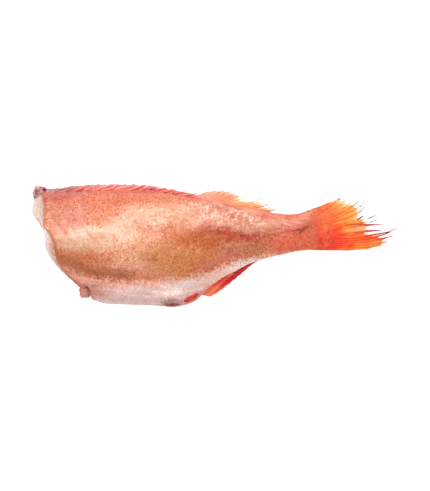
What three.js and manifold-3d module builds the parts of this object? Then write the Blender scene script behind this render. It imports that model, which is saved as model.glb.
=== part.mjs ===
// A raw redfish, headed and gutted, that lies on its right side. Millimetres.
//
// +X runs from the cut behind the head to the tail, +Y from the belly to the back, and +Z up from the
// surface that the fish lies on. The origin is under the middle of the fish, on that surface.
//
// The fish is one piece: a body with a slanting cut at the front and the mouth of the gut cavity in it,
// the folded spiny fin and the soft fin on the back, the anal fin, the tail fin, and the stub of a
// pelvic fin. Each is a closed mesh, and one union joins them.

import * as THREE from "three";
import { mergeVertices } from "three/addons/utils/BufferGeometryUtils.js";
import Module from "manifold-3d";

// ---------------------------------------------------------------- driving dimensions

// The body's outline seen from above, as [x, y]: the back and the belly, without their fins.
const BACK_EDGE = [
  [-140, 39.2], [-121, 40.2], [-105, 40.9], [-80, 41.4], [-55, 41.2], [-35, 39.6], [-15, 36.6],
  [5, 32.4], [24, 27.2], [34, 24.6], [44, 22.9], [53, 22.4], [60, 23.6], [66, 26], [72, 28.2], [78, 30],
];
const BELLY_EDGE = [
  [-140, -27], [-118, -31], [-100, -35.5], [-86.5, -39], [-78, -41.6], [-60, -42.3], [-42, -42.9],
  [-30, -43.9], [-21, -42.4], [-14, -39.4], [-4.6, -30.2], [3.2, -23.8], [14, -18.4], [24.6, -12.8],
  [36, -9.2], [50, -5.9], [62, -3.4], [78, -2.9],
];

// How thick the flesh is, as [x, value]. The middle plane sinks towards the tail, because the fish is limp.
const HALF_THICKNESS = [
  [-140, 21], [-120, 23], [-95, 25], [-70, 25], [-40, 23.5], [-15, 20], [10, 15.5], [30, 11.5],
  [48, 8.2], [58, 6.6], [66, 4.6], [72, 2.9], [78, 0.9],
];
const MIDDLE_HEIGHT = [
  [-140, 16.5], [-95, 17.5], [-70, 17.5], [-40, 16.5], [-15, 14.5], [10, 11.8], [30, 9.4], [48, 7.6],
  [60, 6.6], [78, 5.2],
];

// The section's form, in shares of its depth and of its thickness. The flank's muscle is a dome over a
// foot line, and the emptied belly below that line is a thin flap that sags to the surface.
const DOME_TOP = [[-140, 0.62], [-40, 0.62], [20, 0.56], [78, 0.5]];
const DOME_FOOT = [[-140, 0.12], [-100, 0.17], [-60, 0.2], [-30, 0.16], [-5, 0.05], [10, 0], [78, 0]];
const DOME_SLOPE = [[-140, 0.8], [-40, 0.85], [10, 0.5], [78, 0.5]];
const FLAP_SHARE = [[-140, 0.33], [-100, 0.3], [-60, 0.27], [-35, 0.27], [-15, 0.2], [6, 0.02], [78, 0.02]];
const FLAP_ROUND = 0.07;
const FLAP_SAG = [[-140, 8.5], [-95, 9.5], [-40, 9], [-20, 6.5], [0, 2], [15, 0], [78, 0]];
const SAG_STARTS = 0.5;

// The cut, as [y, x]: the skin's edge on the upper side, and where the same cut ends on the lower side.
const UPPER_CUT = [
  [-46, -85.5], [-38.8, -86.5], [-33, -92], [-26.5, -98.5], [-20, -104.5], [-14, -108.6], [-4, -111.6],
  [6, -114.6], [11, -118.4], [14, -120.2], [27, -119.4], [41, -120.8], [46, -121],
];
const LOWER_CUT = [
  [-46, -86.5], [-38.8, -88], [-33, -93.6], [-27, -99.8], [-22.5, -105.6], [-17, -111.4], [-9, -117],
  [0, -120.4], [9, -122], [14, -124.4], [19, -128], [24, -130], [34, -130.4], [39, -128.6], [46, -126],
];
const CUT_HEIGHT = 38; // height over which the cut leans back from the lower side to the upper one
const FLESH_LOBES = [
  { y: 27, spread: 11, out: 2.6 }, // the back muscle swells out of the cut
  { y: -3, spread: 12, out: 2.2 }, // and so does the wall of the belly
];

// The mouth of the gut cavity in the cut, and the end of the cavity.
const CAVITY_TOP = 7;
const CAVITY_BOTTOM = -33;
const CAVITY_HALF_WIDTHS = [[0, 2.4], [0.35, 4.2], [0.75, 8.4], [1, 8.6]]; // by the share from its bottom to its top
const CAVITY_END = { x: -56, top: -3, bottom: -26, narrowing: 0.42 };

const BODY_END = 78;
const TAIL_ROOT_CURVE = 9; // how much further the flesh reaches in the middle of the tail's root
const AROUND = 48; // points round a section
const ALONG = 44; // sections from the cut to the tail
const ACROSS_CUT = 5; // rings between the skin's edge and the cavity's mouth
const INTO_CAVITY = 6;

// Fin rays as [root x, root y, tip x, tip y], from the lowest to the highest.
const TAIL_RAYS = [
  [62, -2.5, 97, -3.6], [63, -1.7, 111, -2.6], [64, -0.6, 121.6, 0.2], [65, 0.8, 124, 2.6], [65, 2.4, 129.6, 7.2],
  [65, 4.2, 131, 10.8], [65, 6, 127, 10.4], [65, 7.8, 120.4, 11.2], [65, 9.6, 121.4, 14.8], [65, 11.4, 117.6, 17],
  [65, 13.2, 116.6, 20.4], [65, 15, 107.4, 19.4], [65, 16.6, 109.6, 26.4], [64, 18.4, 109.6, 30.4],
  [63, 20, 106, 32.4], [62, 21.4, 99.6, 31.4], [61, 22.4, 95.6, 33.6], [60, 22.8, 91.2, 35.2], [59, 23, 84, 33],
];
const SOFT_FIN_RAYS = [
  [38, 21.5, 49.4, 26], [33, 22.4, 47, 27], [27, 24, 39.4, 28.6], [22.6, 25.6, 41.4, 30.2], [18.2, 27, 40.2, 31.6],
  [14, 28.2, 39.6, 33.4], [10, 29.4, 36, 34], [6.2, 30.4, 20, 34.6], [2.4, 31.2, 18, 36.2],
  [-1.4, 32, 15.2, 38], [-5.2, 32.8, 10.6, 39.6], [-9, 33.6, 7, 40], [-12.8, 34.2, 1, 39.6], [-16.4, 35, -4.6, 39],
];
const ANAL_FIN_RAYS = [
  [-19, -37, -12.4, -39.8], [-15.4, -34, -5.6, -39], [-11.6, -31, -0.6, -37.6], [-7, -27.6, 3.4, -34.4],
  [-2, -24.2, 8.4, -30.6], [3, -21.4, 13.6, -26.4], [8, -18.6, 18.4, -22.2], [13, -16, 23.2, -17.6],
  [18, -13.4, 27, -13.8], [23, -11.4, 31.4, -11],
];

// The spiny fin lies folded along the back: each spine leans over the root of the next one.
const SPINES = { count: 13, firstX: -110, lastX: -18, length: 25, rise: 2.9, rootRadius: 1.5, tipRadius: 0.5 };
const FOLDED_SKIN = { fromX: -113, toX: -10, out: 2.4, under: 4, halfThickness: 2.6 };

const BACKBONE = { y: 15, radius: 5, out: 1.6, hollow: 2.2, into: 8 };
const NECK_BONE = { x: -124.4, y: 38.2, z: 17, size: [4.6, 4.4, 8] };
const VENT = { x: -31, y: -40.9, z: 7.6, size: [6.5, 3, 4.6] };
const PELVIC_STUB = { x: -92.8, y: -32, z: 8.4, size: [4.3, 5.4, 4.2] };
const RESTING_GAP = 0.1; // thin fins end this far above the surface

// ---------------------------------------------------------------- curves

const lerp = THREE.MathUtils.lerp;
const clamp01 = (value) => THREE.MathUtils.clamp(value, 0, 1);

// A function through stations [at, value], which turns smoothly and never overshoots them.
function through(stations) {
  const slope = (i) => (stations[i + 1][1] - stations[i][1]) / (stations[i + 1][0] - stations[i][0]);
  const last = stations.length - 1;
  const tangents = stations.map((_, i) => {
    if (i === 0 || i === last) return 0;
    const [before, after] = [slope(i - 1), slope(i)];
    return before * after <= 0 ? 0 : (2 * before * after) / (before + after);
  });
  return (at) => {
    if (at <= stations[0][0]) return stations[0][1];
    if (at >= stations[last][0]) return stations[last][1];
    const i = stations.findIndex((station) => station[0] > at) - 1;
    const width = stations[i + 1][0] - stations[i][0];
    const t = (at - stations[i][0]) / width;
    const cubic = 2 * t ** 3 - 3 * t ** 2;
    return (
      stations[i][1] * (cubic + 1) -
      stations[i + 1][1] * cubic +
      width * ((t ** 3 - 2 * t ** 2 + t) * tangents[i] + (t ** 3 - t ** 2) * tangents[i + 1])
    );
  };
}

const backEdge = through(BACK_EDGE);
const bellyEdge = through(BELLY_EDGE);
const halfThickness = through(HALF_THICKNESS);
const middleHeight = through(MIDDLE_HEIGHT);
const domeTop = through(DOME_TOP);
const domeFoot = through(DOME_FOOT);
const domeSlope = through(DOME_SLOPE);
const flapShare = through(FLAP_SHARE);
const flapSag = through(FLAP_SAG);
const upperCut = through(UPPER_CUT);
const lowerCut = through(LOWER_CUT);
const cavityHalfWidth = through(CAVITY_HALF_WIDTHS);

// ---------------------------------------------------------------- the body's surface

// The share of the half thickness at a share v of the depth, from 0 at the belly to 1 at the back.
function sectionShare(x, v) {
  const top = domeTop(x);
  const foot = domeFoot(x);
  const flap = flapShare(x) * Math.sqrt(1 - (1 - Math.min(1, v / FLAP_ROUND)) ** 2);
  const reach = v > top ? (v - top) / (1 - top) : (top - v) / (top - foot);
  const roundness = v > top ? 0.5 : domeSlope(x);
  const dome = Math.max(0, 1 - reach ** 2) ** roundness;
  // Towards the back only the dome is left, so that both close on the ridge.
  const faded = flap * clamp01((1 - v) / (1 - top)) ** 0.5;
  return Math.cbrt(dome ** 3 + faded ** 3);
}

// The plane between the two flanks. It sags towards the belly, where nothing fills the flaps.
function middleAt(x, v) {
  return middleHeight(x) - flapSag(x) * clamp01(1 - v / SAG_STARTS) ** 1.6;
}

// A point of the skin: angle 0 is the belly, PI the back, and from PI on it is the lower side.
function skinPoint(x, angle) {
  const v = (1 - Math.cos(angle)) / 2;
  const side = angle <= Math.PI ? 1 : -1;
  const z = middleAt(x, v) + side * halfThickness(x) * sectionShare(x, v);
  return new THREE.Vector3(x, lerp(bellyEdge(x), backEdge(x), v), Math.max(0, z));
}

// The cut leans, so that the flesh shows from above along its left edge.
function cutX(y, z) {
  return lerp(lowerCut(y), upperCut(y), clamp01(z / CUT_HEIGHT));
}

// Where the skin ends at the cut, for one angle: the section at x has its own y, so x is found in a few steps.
function skinEdge(angle) {
  let point = skinPoint(BELLY_EDGE[2][0], angle);
  for (let step = 0; step < 12; step++) point = skinPoint(lerp(point.x, cutX(point.y, point.z), 0.8), angle);
  return point;
}

function fleshOut(y) {
  return FLESH_LOBES.reduce((sum, lobe) => sum + lobe.out * Math.exp(-(((y - lobe.y) / lobe.spread) ** 2)), 0);
}

const cavityMiddle = (x, y) => middleAt(x, clamp01((y - bellyEdge(x)) / (backEdge(x) - bellyEdge(x))));

// A point of the gut cavity's wall, at a share of the way from its mouth to its end.
function cavityPoint(angle, inward) {
  const v = (1 - Math.cos(angle)) / 2;
  const y = lerp(lerp(CAVITY_BOTTOM, CAVITY_TOP, v), lerp(CAVITY_END.bottom, CAVITY_END.top, v), inward);
  const mouthX = cutX(y, cavityMiddle(CAVITY_END.x, y));
  const x = lerp(mouthX, CAVITY_END.x, inward);
  const width = cavityHalfWidth(v) * Math.sin(angle) * lerp(1, CAVITY_END.narrowing, inward ** 2);
  return new THREE.Vector3(x, y, cavityMiddle(x, y) + width);
}

// ---------------------------------------------------------------- closed meshes

// Closed rings of equal length, one after the other, and a fan over each end. Its faces point outwards.
function closedTube(rings) {
  const size = rings[0].length;
  const centre = (ring) => ring.reduce((sum, p) => sum.add(p), new THREE.Vector3()).divideScalar(size);
  const points = [...rings.flat(), centre(rings[0]), centre(rings.at(-1))];
  const first = rings.length * size;
  const faces = [];
  for (let j = 0; j < size; j++) {
    const next = (j + 1) % size;
    faces.push([first, next, j]);
    faces.push([first + 1, first - size + j, first - size + next]);
    for (let i = 0; i + 1 < rings.length; i++) {
      const [a, b, c, d] = [i * size + j, i * size + next, (i + 1) * size + j, (i + 1) * size + next];
      faces.push([a, b, d], [a, d, c]);
    }
  }
  return facingOut(points, faces);
}

// A thin solid from a grid of its middle points, with half its thickness above and below each. Both
// faces are split into triangles alike.
function closedSheet(grid) {
  const [rows, columns] = [grid.length, grid[0].length];
  const place = (face, i, j) => (face * rows + i) * columns + j;
  const lifted = (face) =>
    grid.flat().map(({ point, half }) => {
      const z = point.z + (face ? -half : half);
      return new THREE.Vector3(point.x, point.y, Math.max(z, face ? RESTING_GAP : RESTING_GAP + half));
    });
  const points = [...lifted(0), ...lifted(1)];
  const faces = [];
  const wall = (i, j, k, l) => {
    faces.push([place(0, i, j), place(1, k, l), place(1, i, j)], [place(0, i, j), place(0, k, l), place(1, k, l)]);
  };
  for (let i = 0; i + 1 < rows; i++) {
    for (let j = 0; j + 1 < columns; j++) {
      const [a, b, c, d] = [place(0, i, j), place(0, i, j + 1), place(0, i + 1, j), place(0, i + 1, j + 1)];
      const under = rows * columns;
      faces.push([a, b, d], [a, d, c]);
      faces.push([a + under, d + under, b + under], [a + under, c + under, d + under]);
    }
    wall(i, 0, i + 1, 0);
    wall(i + 1, columns - 1, i, columns - 1);
  }
  for (let j = 0; j + 1 < columns; j++) {
    wall(0, j + 1, 0, j);
    wall(rows - 1, j, rows - 1, j + 1);
  }
  return facingOut(points, faces);
}

function facingOut(points, faces) {
  const volume = faces.reduce(
    (sum, [a, b, c]) => sum + points[a].dot(new THREE.Vector3().crossVectors(points[b], points[c])),
    0,
  );
  const turned = volume < 0 ? faces.map(([a, b, c]) => [a, c, b]) : faces;
  const geometry = new THREE.BufferGeometry();
  geometry.setAttribute("position", new THREE.Float32BufferAttribute(points.flatMap((p) => p.toArray()), 3));
  geometry.setIndex(turned.flat());
  return geometry;
}

// ---------------------------------------------------------------- the sub-parts

const angles = Array.from({ length: AROUND }, (_, j) => (2 * Math.PI * j) / AROUND);

function body() {
  const edge = angles.map(skinEdge);
  const mouth = angles.map((angle) => cavityPoint(angle, 0));
  const cavity = [];
  for (let i = INTO_CAVITY; i > 0; i--) cavity.push(angles.map((angle) => cavityPoint(angle, i / INTO_CAVITY)));
  const cut = [mouth];
  for (let i = 1; i < ACROSS_CUT; i++) {
    const share = i / ACROSS_CUT;
    cut.push(
      edge.map((outer, j) => {
        const point = mouth[j].clone().lerp(outer, share);
        point.x = cutX(point.y, point.z) - fleshOut(point.y) * Math.sqrt(Math.sin(Math.PI * share));
        return point;
      }),
    );
  }
  const skin = [];
  for (let i = 0; i <= ALONG; i++) {
    skin.push(
      edge.map((start, j) => {
        const endX = BODY_END - TAIL_ROOT_CURVE * Math.cos(angles[j]) ** 2;
        return i ? skinPoint(lerp(start.x, endX, i / ALONG), angles[j]) : start;
      }),
    );
  }
  return closedTube([...cavity, ...cut, ...skin]);
}

// Rays from a root line to frayed tips, with the fin's skin between them cut back by a share of its length.
// The rays in the middle bow the most, by a share of their length; the first and the last are straight.
function fin({ rays, steps, rootZ, tipZ, bow, cutBack, rayHalf, skinHalf, pleat }) {
  const columns = [];
  const bowAt = (i) => bow * Math.sin((Math.PI * i) / (rays.length - 1));
  rays.forEach(([rootX, rootY, tipX, tipY], i) => {
    const root = new THREE.Vector2(rootX, rootY);
    const tip = new THREE.Vector2(tipX, tipY);
    if (i > 0) {
      const [beforeX, beforeY, beforeTipX, beforeTipY] = rays[i - 1];
      const midRoot = root.clone().lerp(new THREE.Vector2(beforeX, beforeY), 0.5);
      const midTip = tip.clone().lerp(new THREE.Vector2(beforeTipX, beforeTipY), 0.5).lerp(midRoot, cutBack);
      columns.push({ root: midRoot, tip: midTip, half: skinHalf, lift: -pleat, bent: bowAt(i - 0.5) });
    }
    columns.push({ root, tip, half: rayHalf, lift: pleat, bent: bowAt(i) });
  });
  const rows = [];
  for (let k = 0; k <= steps; k++) {
    const s = k / steps;
    rows.push(
      columns.map(({ root, tip, half, lift, bent }) => {
        const aside = new THREE.Vector2(root.y - tip.y, tip.x - root.x).multiplyScalar(-bent * Math.sin(Math.PI * s));
        const flat = root.clone().lerp(tip, s).add(aside);
        const z = lerp(rootZ(root.x), tipZ, s ** 0.8) + lift * Math.sin(Math.PI * s);
        return { point: new THREE.Vector3(flat.x, flat.y, z), half: half * lerp(1, 0.45, s) };
      }),
    );
  }
  return closedSheet(rows);
}

const tailFin = () =>
  fin({
    rays: TAIL_RAYS, steps: 8, rootZ: middleHeight, tipZ: 1.6, bow: 0.06, cutBack: 0.09,
    rayHalf: 1.1, skinHalf: 0.6, pleat: 0.45,
  });
const softFin = () =>
  fin({
    rays: SOFT_FIN_RAYS, steps: 5, rootZ: middleHeight, tipZ: 5, bow: 0.05, cutBack: 0.2,
    rayHalf: 0.9, skinHalf: 0.5, pleat: 0.3,
  });
const analFin = () =>
  fin({
    rays: ANAL_FIN_RAYS, steps: 5, rootZ: (x) => middleAt(x, 0), tipZ: 3.2, bow: -0.05, cutBack: 0.1,
    rayHalf: 1.1, skinHalf: 0.7, pleat: 0.3,
  });

// A circle of points about a centre, in a plane across the fish.
function circle(x, y, z, radius, sides) {
  return Array.from({ length: sides }, (_, j) => {
    const turn = (2 * Math.PI * j) / sides;
    return new THREE.Vector3(x, y + radius * Math.cos(turn), z + radius * Math.sin(turn));
  });
}

// A rod that narrows from its root to its tip, six-sided, along a line that bows upwards in y.
function spine(root, tip, rise) {
  const [segments, sides] = [4, 6];
  const rings = [];
  for (let i = 0; i <= segments; i++) {
    const s = i / segments;
    const centre = root.clone().lerp(tip, s);
    centre.y += rise * Math.sin(Math.PI * s) * 0.25;
    rings.push(circle(centre.x, centre.y, centre.z, lerp(SPINES.rootRadius, SPINES.tipRadius, s), sides));
  }
  return closedTube(rings);
}

// The spines lie alternately a little to one side and to the other, as they do when such a fin closes.
function foldedSpines() {
  return Array.from({ length: SPINES.count }, (_, k) => {
    const x = lerp(SPINES.firstX, SPINES.lastX, k / (SPINES.count - 1));
    const tipX = x + SPINES.length * lerp(1, 0.72, k / SPINES.count);
    const aside = k % 2 ? 1.5 : -1.5;
    const root = new THREE.Vector3(x, backEdge(x) - 1.2, middleHeight(x));
    const tip = new THREE.Vector3(tipX, backEdge(tipX) + SPINES.rise - 0.6, middleHeight(tipX) + aside);
    return spine(root, tip, SPINES.rise);
  });
}

// The skin of the spiny fin, folded in a low ridge along the back.
function foldedSkin() {
  const { fromX, toX, out, under, halfThickness: half } = FOLDED_SKIN;
  const steps = 26;
  const profile = [[-under, half], [0, half], [out * 0.7, half * 0.6], [out, half * 0.25]];
  const rows = [];
  for (let i = 0; i <= steps; i++) {
    const x = lerp(fromX, toX, i / steps);
    const ends = Math.sin(Math.PI * clamp01(i / steps)) ** 0.35;
    const wave = 0.5 * Math.sin(i * 1.9);
    rows.push(
      profile.map(([beyond, thick]) => {
        const y = backEdge(x) + (beyond > 0 ? (beyond + wave) * ends : beyond);
        return { point: new THREE.Vector3(x, y, middleHeight(x)), half: thick * Math.max(ends, 0.3) };
      }),
    );
  }
  return closedSheet(rows);
}

// The cut end of the backbone: a short drum with a hollow face, as each vertebra has.
function backboneEnd() {
  const { y, radius, out, hollow, into } = BACKBONE;
  const profile = [
    [radius * 0.9, -into], [radius, out - 1], [radius * 0.86, out], [radius * 0.5, out - hollow * 0.7],
    [radius * 0.12, out - hollow],
  ];
  const z = cavityMiddle(LOWER_CUT[9][1], y);
  const faceX = cutX(y, z) - fleshOut(y);
  const rings = profile.map(([reach, forward]) => circle(faceX - forward, y, z, reach, 14));
  return closedTube(rings);
}

// A small rounded lump, for what is soft and short.
function lump({ x, y, z, size }, detail = 2) {
  return new THREE.IcosahedronGeometry(1, detail).scale(...size).translate(x, y, z);
}

// The pelvic fin is cut off flat close to the belly: a lump with a squared end.
function pelvicStub() {
  const { x, y, z, size } = PELVIC_STUB;
  const corners = 14;
  const rings = [-1, -0.82, 0.2, 1].map((share, i) =>
    Array.from({ length: corners }, (_, j) => {
      const turn = (2 * Math.PI * j) / corners;
      const wide = [0.82, 1, 1, 0.7][i];
      return new THREE.Vector3(
        x + size[0] * wide * Math.sign(Math.cos(turn)) * Math.abs(Math.cos(turn)) ** 0.6,
        y + size[1] * share,
        z + size[2] * wide * Math.sin(turn),
      );
    }),
  );
  return closedTube(rings);
}

// ---------------------------------------------------------------- one solid

const wasm = await Module();
wasm.setup();

function solidOf(geometry) {
  geometry.deleteAttribute("normal");
  geometry.deleteAttribute("uv");
  const merged = mergeVertices(geometry, 1e-4);
  const triVerts = new Uint32Array(merged.index.array);
  return new wasm.Manifold(
    new wasm.Mesh({ numProp: 3, vertProperties: merged.attributes.position.array, triVerts }),
  );
}

function meshOf(solid, name, material) {
  const { vertProperties, triVerts } = solid.getMesh();
  const geometry = new THREE.BufferGeometry();
  geometry.setAttribute("position", new THREE.BufferAttribute(vertProperties, 3));
  geometry.setIndex(new THREE.BufferAttribute(triVerts, 1));
  geometry.computeVertexNormals();
  const mesh = new THREE.Mesh(geometry, material);
  mesh.name = name;
  return mesh;
}

const pieces = [
  body(), tailFin(), softFin(), analFin(), foldedSkin(), ...foldedSpines(), backboneEnd(), lump(NECK_BONE),
  lump(VENT), pelvicStub(),
];
const joined = pieces.map(solidOf).reduce((whole, piece) => whole.add(piece));

const fishSkin = new THREE.MeshStandardMaterial({ color: 0xe58a63, roughness: 0.35, metalness: 0 });

const fish = new THREE.Group();
fish.add(meshOf(joined, "fish", fishSkin));

export default fish;
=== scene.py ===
# %% [markdown]
# # A raw redfish without its head
#
# A redfish, also sold as ocean perch, with its head cut off and its belly emptied, lies on its right
# side. The dressed model has wet orange skin with thousands of overlapping scales, pale flesh at the
# slanting cut, a gut cavity behind it, and fins that have gone limp: a spiny fin folded along the
# back, a frayed soft fin behind it, an anal fin, and a tail fin.
#
# The CAD model is the fixed frame. It is one solid, and its lengths are in millimetres. The same few
# outlines are repeated here, so that every fine surface lies where the solid has its plain one.

# %% Setup
import math

import bmesh
import bpy
import numpy as np
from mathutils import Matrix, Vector, noise


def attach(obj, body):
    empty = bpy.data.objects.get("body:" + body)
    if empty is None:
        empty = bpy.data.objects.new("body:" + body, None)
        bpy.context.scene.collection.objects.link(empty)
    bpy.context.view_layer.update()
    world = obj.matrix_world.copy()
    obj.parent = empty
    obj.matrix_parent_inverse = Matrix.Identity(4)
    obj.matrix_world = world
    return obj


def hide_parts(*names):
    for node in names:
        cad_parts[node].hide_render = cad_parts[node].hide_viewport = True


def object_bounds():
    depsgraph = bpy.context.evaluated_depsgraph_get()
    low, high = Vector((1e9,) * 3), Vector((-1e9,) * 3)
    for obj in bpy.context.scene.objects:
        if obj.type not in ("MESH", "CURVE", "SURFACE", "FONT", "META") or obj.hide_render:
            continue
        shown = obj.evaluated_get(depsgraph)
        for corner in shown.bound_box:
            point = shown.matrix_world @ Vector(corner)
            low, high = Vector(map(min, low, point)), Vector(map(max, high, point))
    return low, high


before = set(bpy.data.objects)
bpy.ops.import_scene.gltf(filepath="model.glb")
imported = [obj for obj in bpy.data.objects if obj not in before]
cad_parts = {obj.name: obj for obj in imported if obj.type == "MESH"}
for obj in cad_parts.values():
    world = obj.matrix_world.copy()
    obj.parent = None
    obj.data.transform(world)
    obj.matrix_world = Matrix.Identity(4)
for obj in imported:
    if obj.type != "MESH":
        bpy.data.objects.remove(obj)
cad_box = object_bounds()
MM = 0.001
random = np.random.default_rng(26)


def in_mm(box):
    """A box's corners in millimetres, for printing."""
    return [[round(value / MM, 1) for value in corner] for corner in box]


print("CAD box in mm:", in_mm(cad_box))

# %% [markdown]
# ## Camera and lights
#
# The fish lies on a white table, and the camera looks straight down on it from far away through a
# long lens, so that what stands higher is hardly enlarged. One large soft box hangs above, on the side
# of the back, and its reflection is the bright band along the wet flank. A second one skims over the
# back, and a white world fills the shadows.

# %% Camera and lights
PICTURE_WIDTH = 430  # pixels
PICTURE_HEIGHT = 491
VIEW_WIDTH = 306.3  # what the camera sees at the height of the fish, in mm
VIEW_HEIGHT = VIEW_WIDTH * PICTURE_HEIGHT / PICTURE_WIDTH
VIEW_PLANE = 12.0  # height of the plane that is seen at true size, in mm
CAMERA_HEIGHT = 1600.0  # over that plane, in mm
CAMERA_REACH = 20.0  # in metres
SENSOR = 36.0  # in mm
SHADOW_FILL = 0.45  # strength of the white world

camera_data = bpy.data.cameras.new("camera")
camera_data.sensor_width = SENSOR
camera_data.lens = SENSOR * CAMERA_HEIGHT / VIEW_HEIGHT
camera_data.clip_end = CAMERA_REACH
camera = bpy.data.objects.new("camera", camera_data)
camera.location = (0, 0, (CAMERA_HEIGHT + VIEW_PLANE) * MM)
bpy.context.scene.collection.objects.link(camera)
bpy.context.scene.camera = camera
bpy.context.scene.view_settings.view_transform = "Standard"


def make_soft_box(name, place, aim, size, power):
    """A rectangular lamp; place, aim and size are in metres and power is in watts."""
    data = bpy.data.lights.new(name, "AREA")
    data.shape = "RECTANGLE"
    data.size, data.size_y = size
    data.energy = power
    light = bpy.data.objects.new(name, data)
    light.location = place
    light.rotation_euler = (Vector(aim) - Vector(place)).to_track_quat("-Z", "Y").to_euler()
    bpy.context.scene.collection.objects.link(light)


make_soft_box("large_soft_box", place=(-0.55, 0.26, 1.9), aim=(-0.05, 0.05, 0), size=(1.3, 1.4), power=27)
make_soft_box("back_side_light", place=(0.3, 1.6, 1.3), aim=(0, 0, 0.01), size=(1.6, 1.0), power=15)

world = bpy.data.worlds.new("studio")
world.use_nodes = True
background = world.node_tree.nodes["Background"]
background.inputs["Color"].default_value = (1, 1, 1, 1)
background.inputs["Strength"].default_value = SHADOW_FILL
bpy.context.scene.world = world
print("lens", round(camera_data.lens, 1), "mm")

# %% [markdown]
# ## A bench for nodes
#
# Every material and every Geometry Nodes tree is built by script. One method adds any node: its
# settings first, then the values or links of its sockets. A small wire class wraps an output, so that
# shader maths reads like ordinary arithmetic.

# %% Bench and wires


class Bench:
    """Adds nodes to one tree."""

    def __init__(self, tree):
        self.tree = tree
        tree.nodes.clear()

    def node(self, kind, settings=None, values=None):
        node = self.tree.nodes.new(kind)
        for name, value in (settings or {}).items():
            setattr(node, name, value)
        for key, value in (values or {}).items():
            self.feed(node.inputs[key], value)
        return node

    def feed(self, socket, value):
        if isinstance(value, Wire):
            value = value.socket
        if isinstance(value, bpy.types.NodeSocket):
            self.tree.links.new(value, socket)
        else:
            socket.default_value = value

    def wire(self, kind, settings=None, values=None, output=0):
        return Wire(self, self.node(kind, settings, values).outputs[output])

    def mix(self, factor, first, second, blend="MIX"):
        """A colour between two colours."""
        settings = {"data_type": "RGBA", "blend_type": blend}
        return self.wire("ShaderNodeMix", settings, {0: factor, 6: first, 7: second}, output=2)

    def shade(self, factor, colour, change):
        """The colour made darker or lighter by a share of its own red, green and blue."""
        return self.mix(factor, colour, (*change, 1.0), "MULTIPLY")

    def stored(self, name, output="Fac"):
        """A value that the mesh stores at its points."""
        return self.wire("ShaderNodeAttribute", {"attribute_name": name}, output=output)

    def parts(self, vector):
        """The three numbers of a vector or a colour."""
        split = self.node("ShaderNodeSeparateXYZ", values={0: vector})
        return [Wire(self, output) for output in split.outputs]


class Wire:
    """An output of a node, with arithmetic on numbers."""

    def __init__(self, bench, socket):
        self.bench = bench
        self.socket = socket

    def math(self, operation, *others):
        values = dict(enumerate((self, *others)))
        return self.bench.wire("ShaderNodeMath", {"operation": operation}, values)

    def __add__(self, other):
        return self.math("ADD", other)

    __radd__ = __add__

    def __mul__(self, other):
        return self.math("MULTIPLY", other)

    __rmul__ = __mul__

    def __sub__(self, other):
        return self.math("SUBTRACT", other)

    def __rsub__(self, other):
        return (self * -1) + other

    def __truediv__(self, other):
        return self.math("DIVIDE", other)

    def __abs__(self):
        return self.math("ABSOLUTE")

    def smooth(self, low, high):
        """0 below low, 1 above high, and a smooth step between; low may be the larger one."""
        if low > high:
            return 1 - self.smooth(high, low)
        values = {"Value": self, "From Min": low, "From Max": high}
        return self.bench.wire("ShaderNodeMapRange", {"interpolation_type": "SMOOTHSTEP"}, values)


print("node bench ready")

# %% Materials and colours


def new_material(name):
    made = bpy.data.materials.new(name)
    made.use_nodes = True
    return made, Bench(made.node_tree)


def tone(red, green, blue):
    """A colour as a monitor shows it, from 0 to 255, as the linear one that a shader takes."""
    shares = [value / 255 for value in (red, green, blue)]
    linear = [s / 12.92 if s <= 0.04045 else ((s + 0.055) / 1.055) ** 2.4 for s in shares]
    return (*linear, 1.0)


def surface_shader(bench, values):
    """Ends a material's tree in one shader; the wet ones have a thin clear coat over a soft colour."""
    shader = bench.node("ShaderNodeBsdfPrincipled", values=values)
    bench.node("ShaderNodeOutputMaterial", values={0: shader.outputs[0]})


def bumps(bench, height, depth):
    """A bump of that depth in millimetres."""
    values = {"Strength": 1.0, "Distance": depth * MM, "Height": height}
    return bench.node("ShaderNodeBump", values=values).outputs[0]


print("half bright grey is", round(tone(128, 128, 128)[0], 3), "in linear light")

# %% [markdown]
# ## The form of the body
#
# A fish's body is a form that follows a rule: its outline seen from the side, its thickness, and a
# section that changes slowly from the cut to the tail. Each is a smooth line through a few stations.
# The section is a dome, the flank's muscle, above a thin flap, the emptied belly. The flap has sunk
# towards the table, and the underside is pressed flat.

# %% Outlines, in millimetres
BACK_EDGE = [
    (-140, 39.2), (-121, 40.2), (-105, 40.9), (-80, 41.4), (-55, 41.2), (-35, 39.6), (-15, 36.6),
    (5, 32.4), (24, 27.2), (34, 24.6), (44, 22.9), (53, 22.2), (60, 22.9), (66, 25), (72, 27), (78, 28.8),
]
BELLY_EDGE = [
    (-140, -27), (-118, -31), (-100, -35.5), (-86.5, -39), (-78, -41.6), (-60, -42.3), (-42, -42.9),
    (-30, -43.9), (-21, -42.4), (-14, -39.4), (-4.6, -30.2), (3.2, -23.8), (14, -18.4), (24.6, -12.8),
    (36, -9.2), (50, -5.9), (62, -3.4), (78, -2.9),
]
HALF_THICKNESS = [
    (-140, 21), (-120, 23), (-95, 25), (-70, 25), (-40, 23.5), (-15, 20), (10, 15.5), (30, 11.5),
    (48, 8.2), (58, 6.6), (66, 4.6), (72, 2.9), (78, 0.9),
]
MIDDLE_HEIGHT = [
    (-140, 16.5), (-95, 17.5), (-70, 17.5), (-40, 16.5), (-15, 14.5), (10, 11.8), (30, 9.4), (48, 7.6),
    (60, 6.6), (78, 5.2),
]
DOME_TOP = [(-140, 0.62), (-40, 0.62), (20, 0.56), (78, 0.5)]
DOME_FOOT = [(-140, 0.12), (-100, 0.17), (-60, 0.2), (-30, 0.16), (-5, 0.05), (10, 0), (78, 0)]
DOME_SLOPE = [(-140, 0.8), (-40, 0.85), (10, 0.5), (78, 0.5)]
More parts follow.
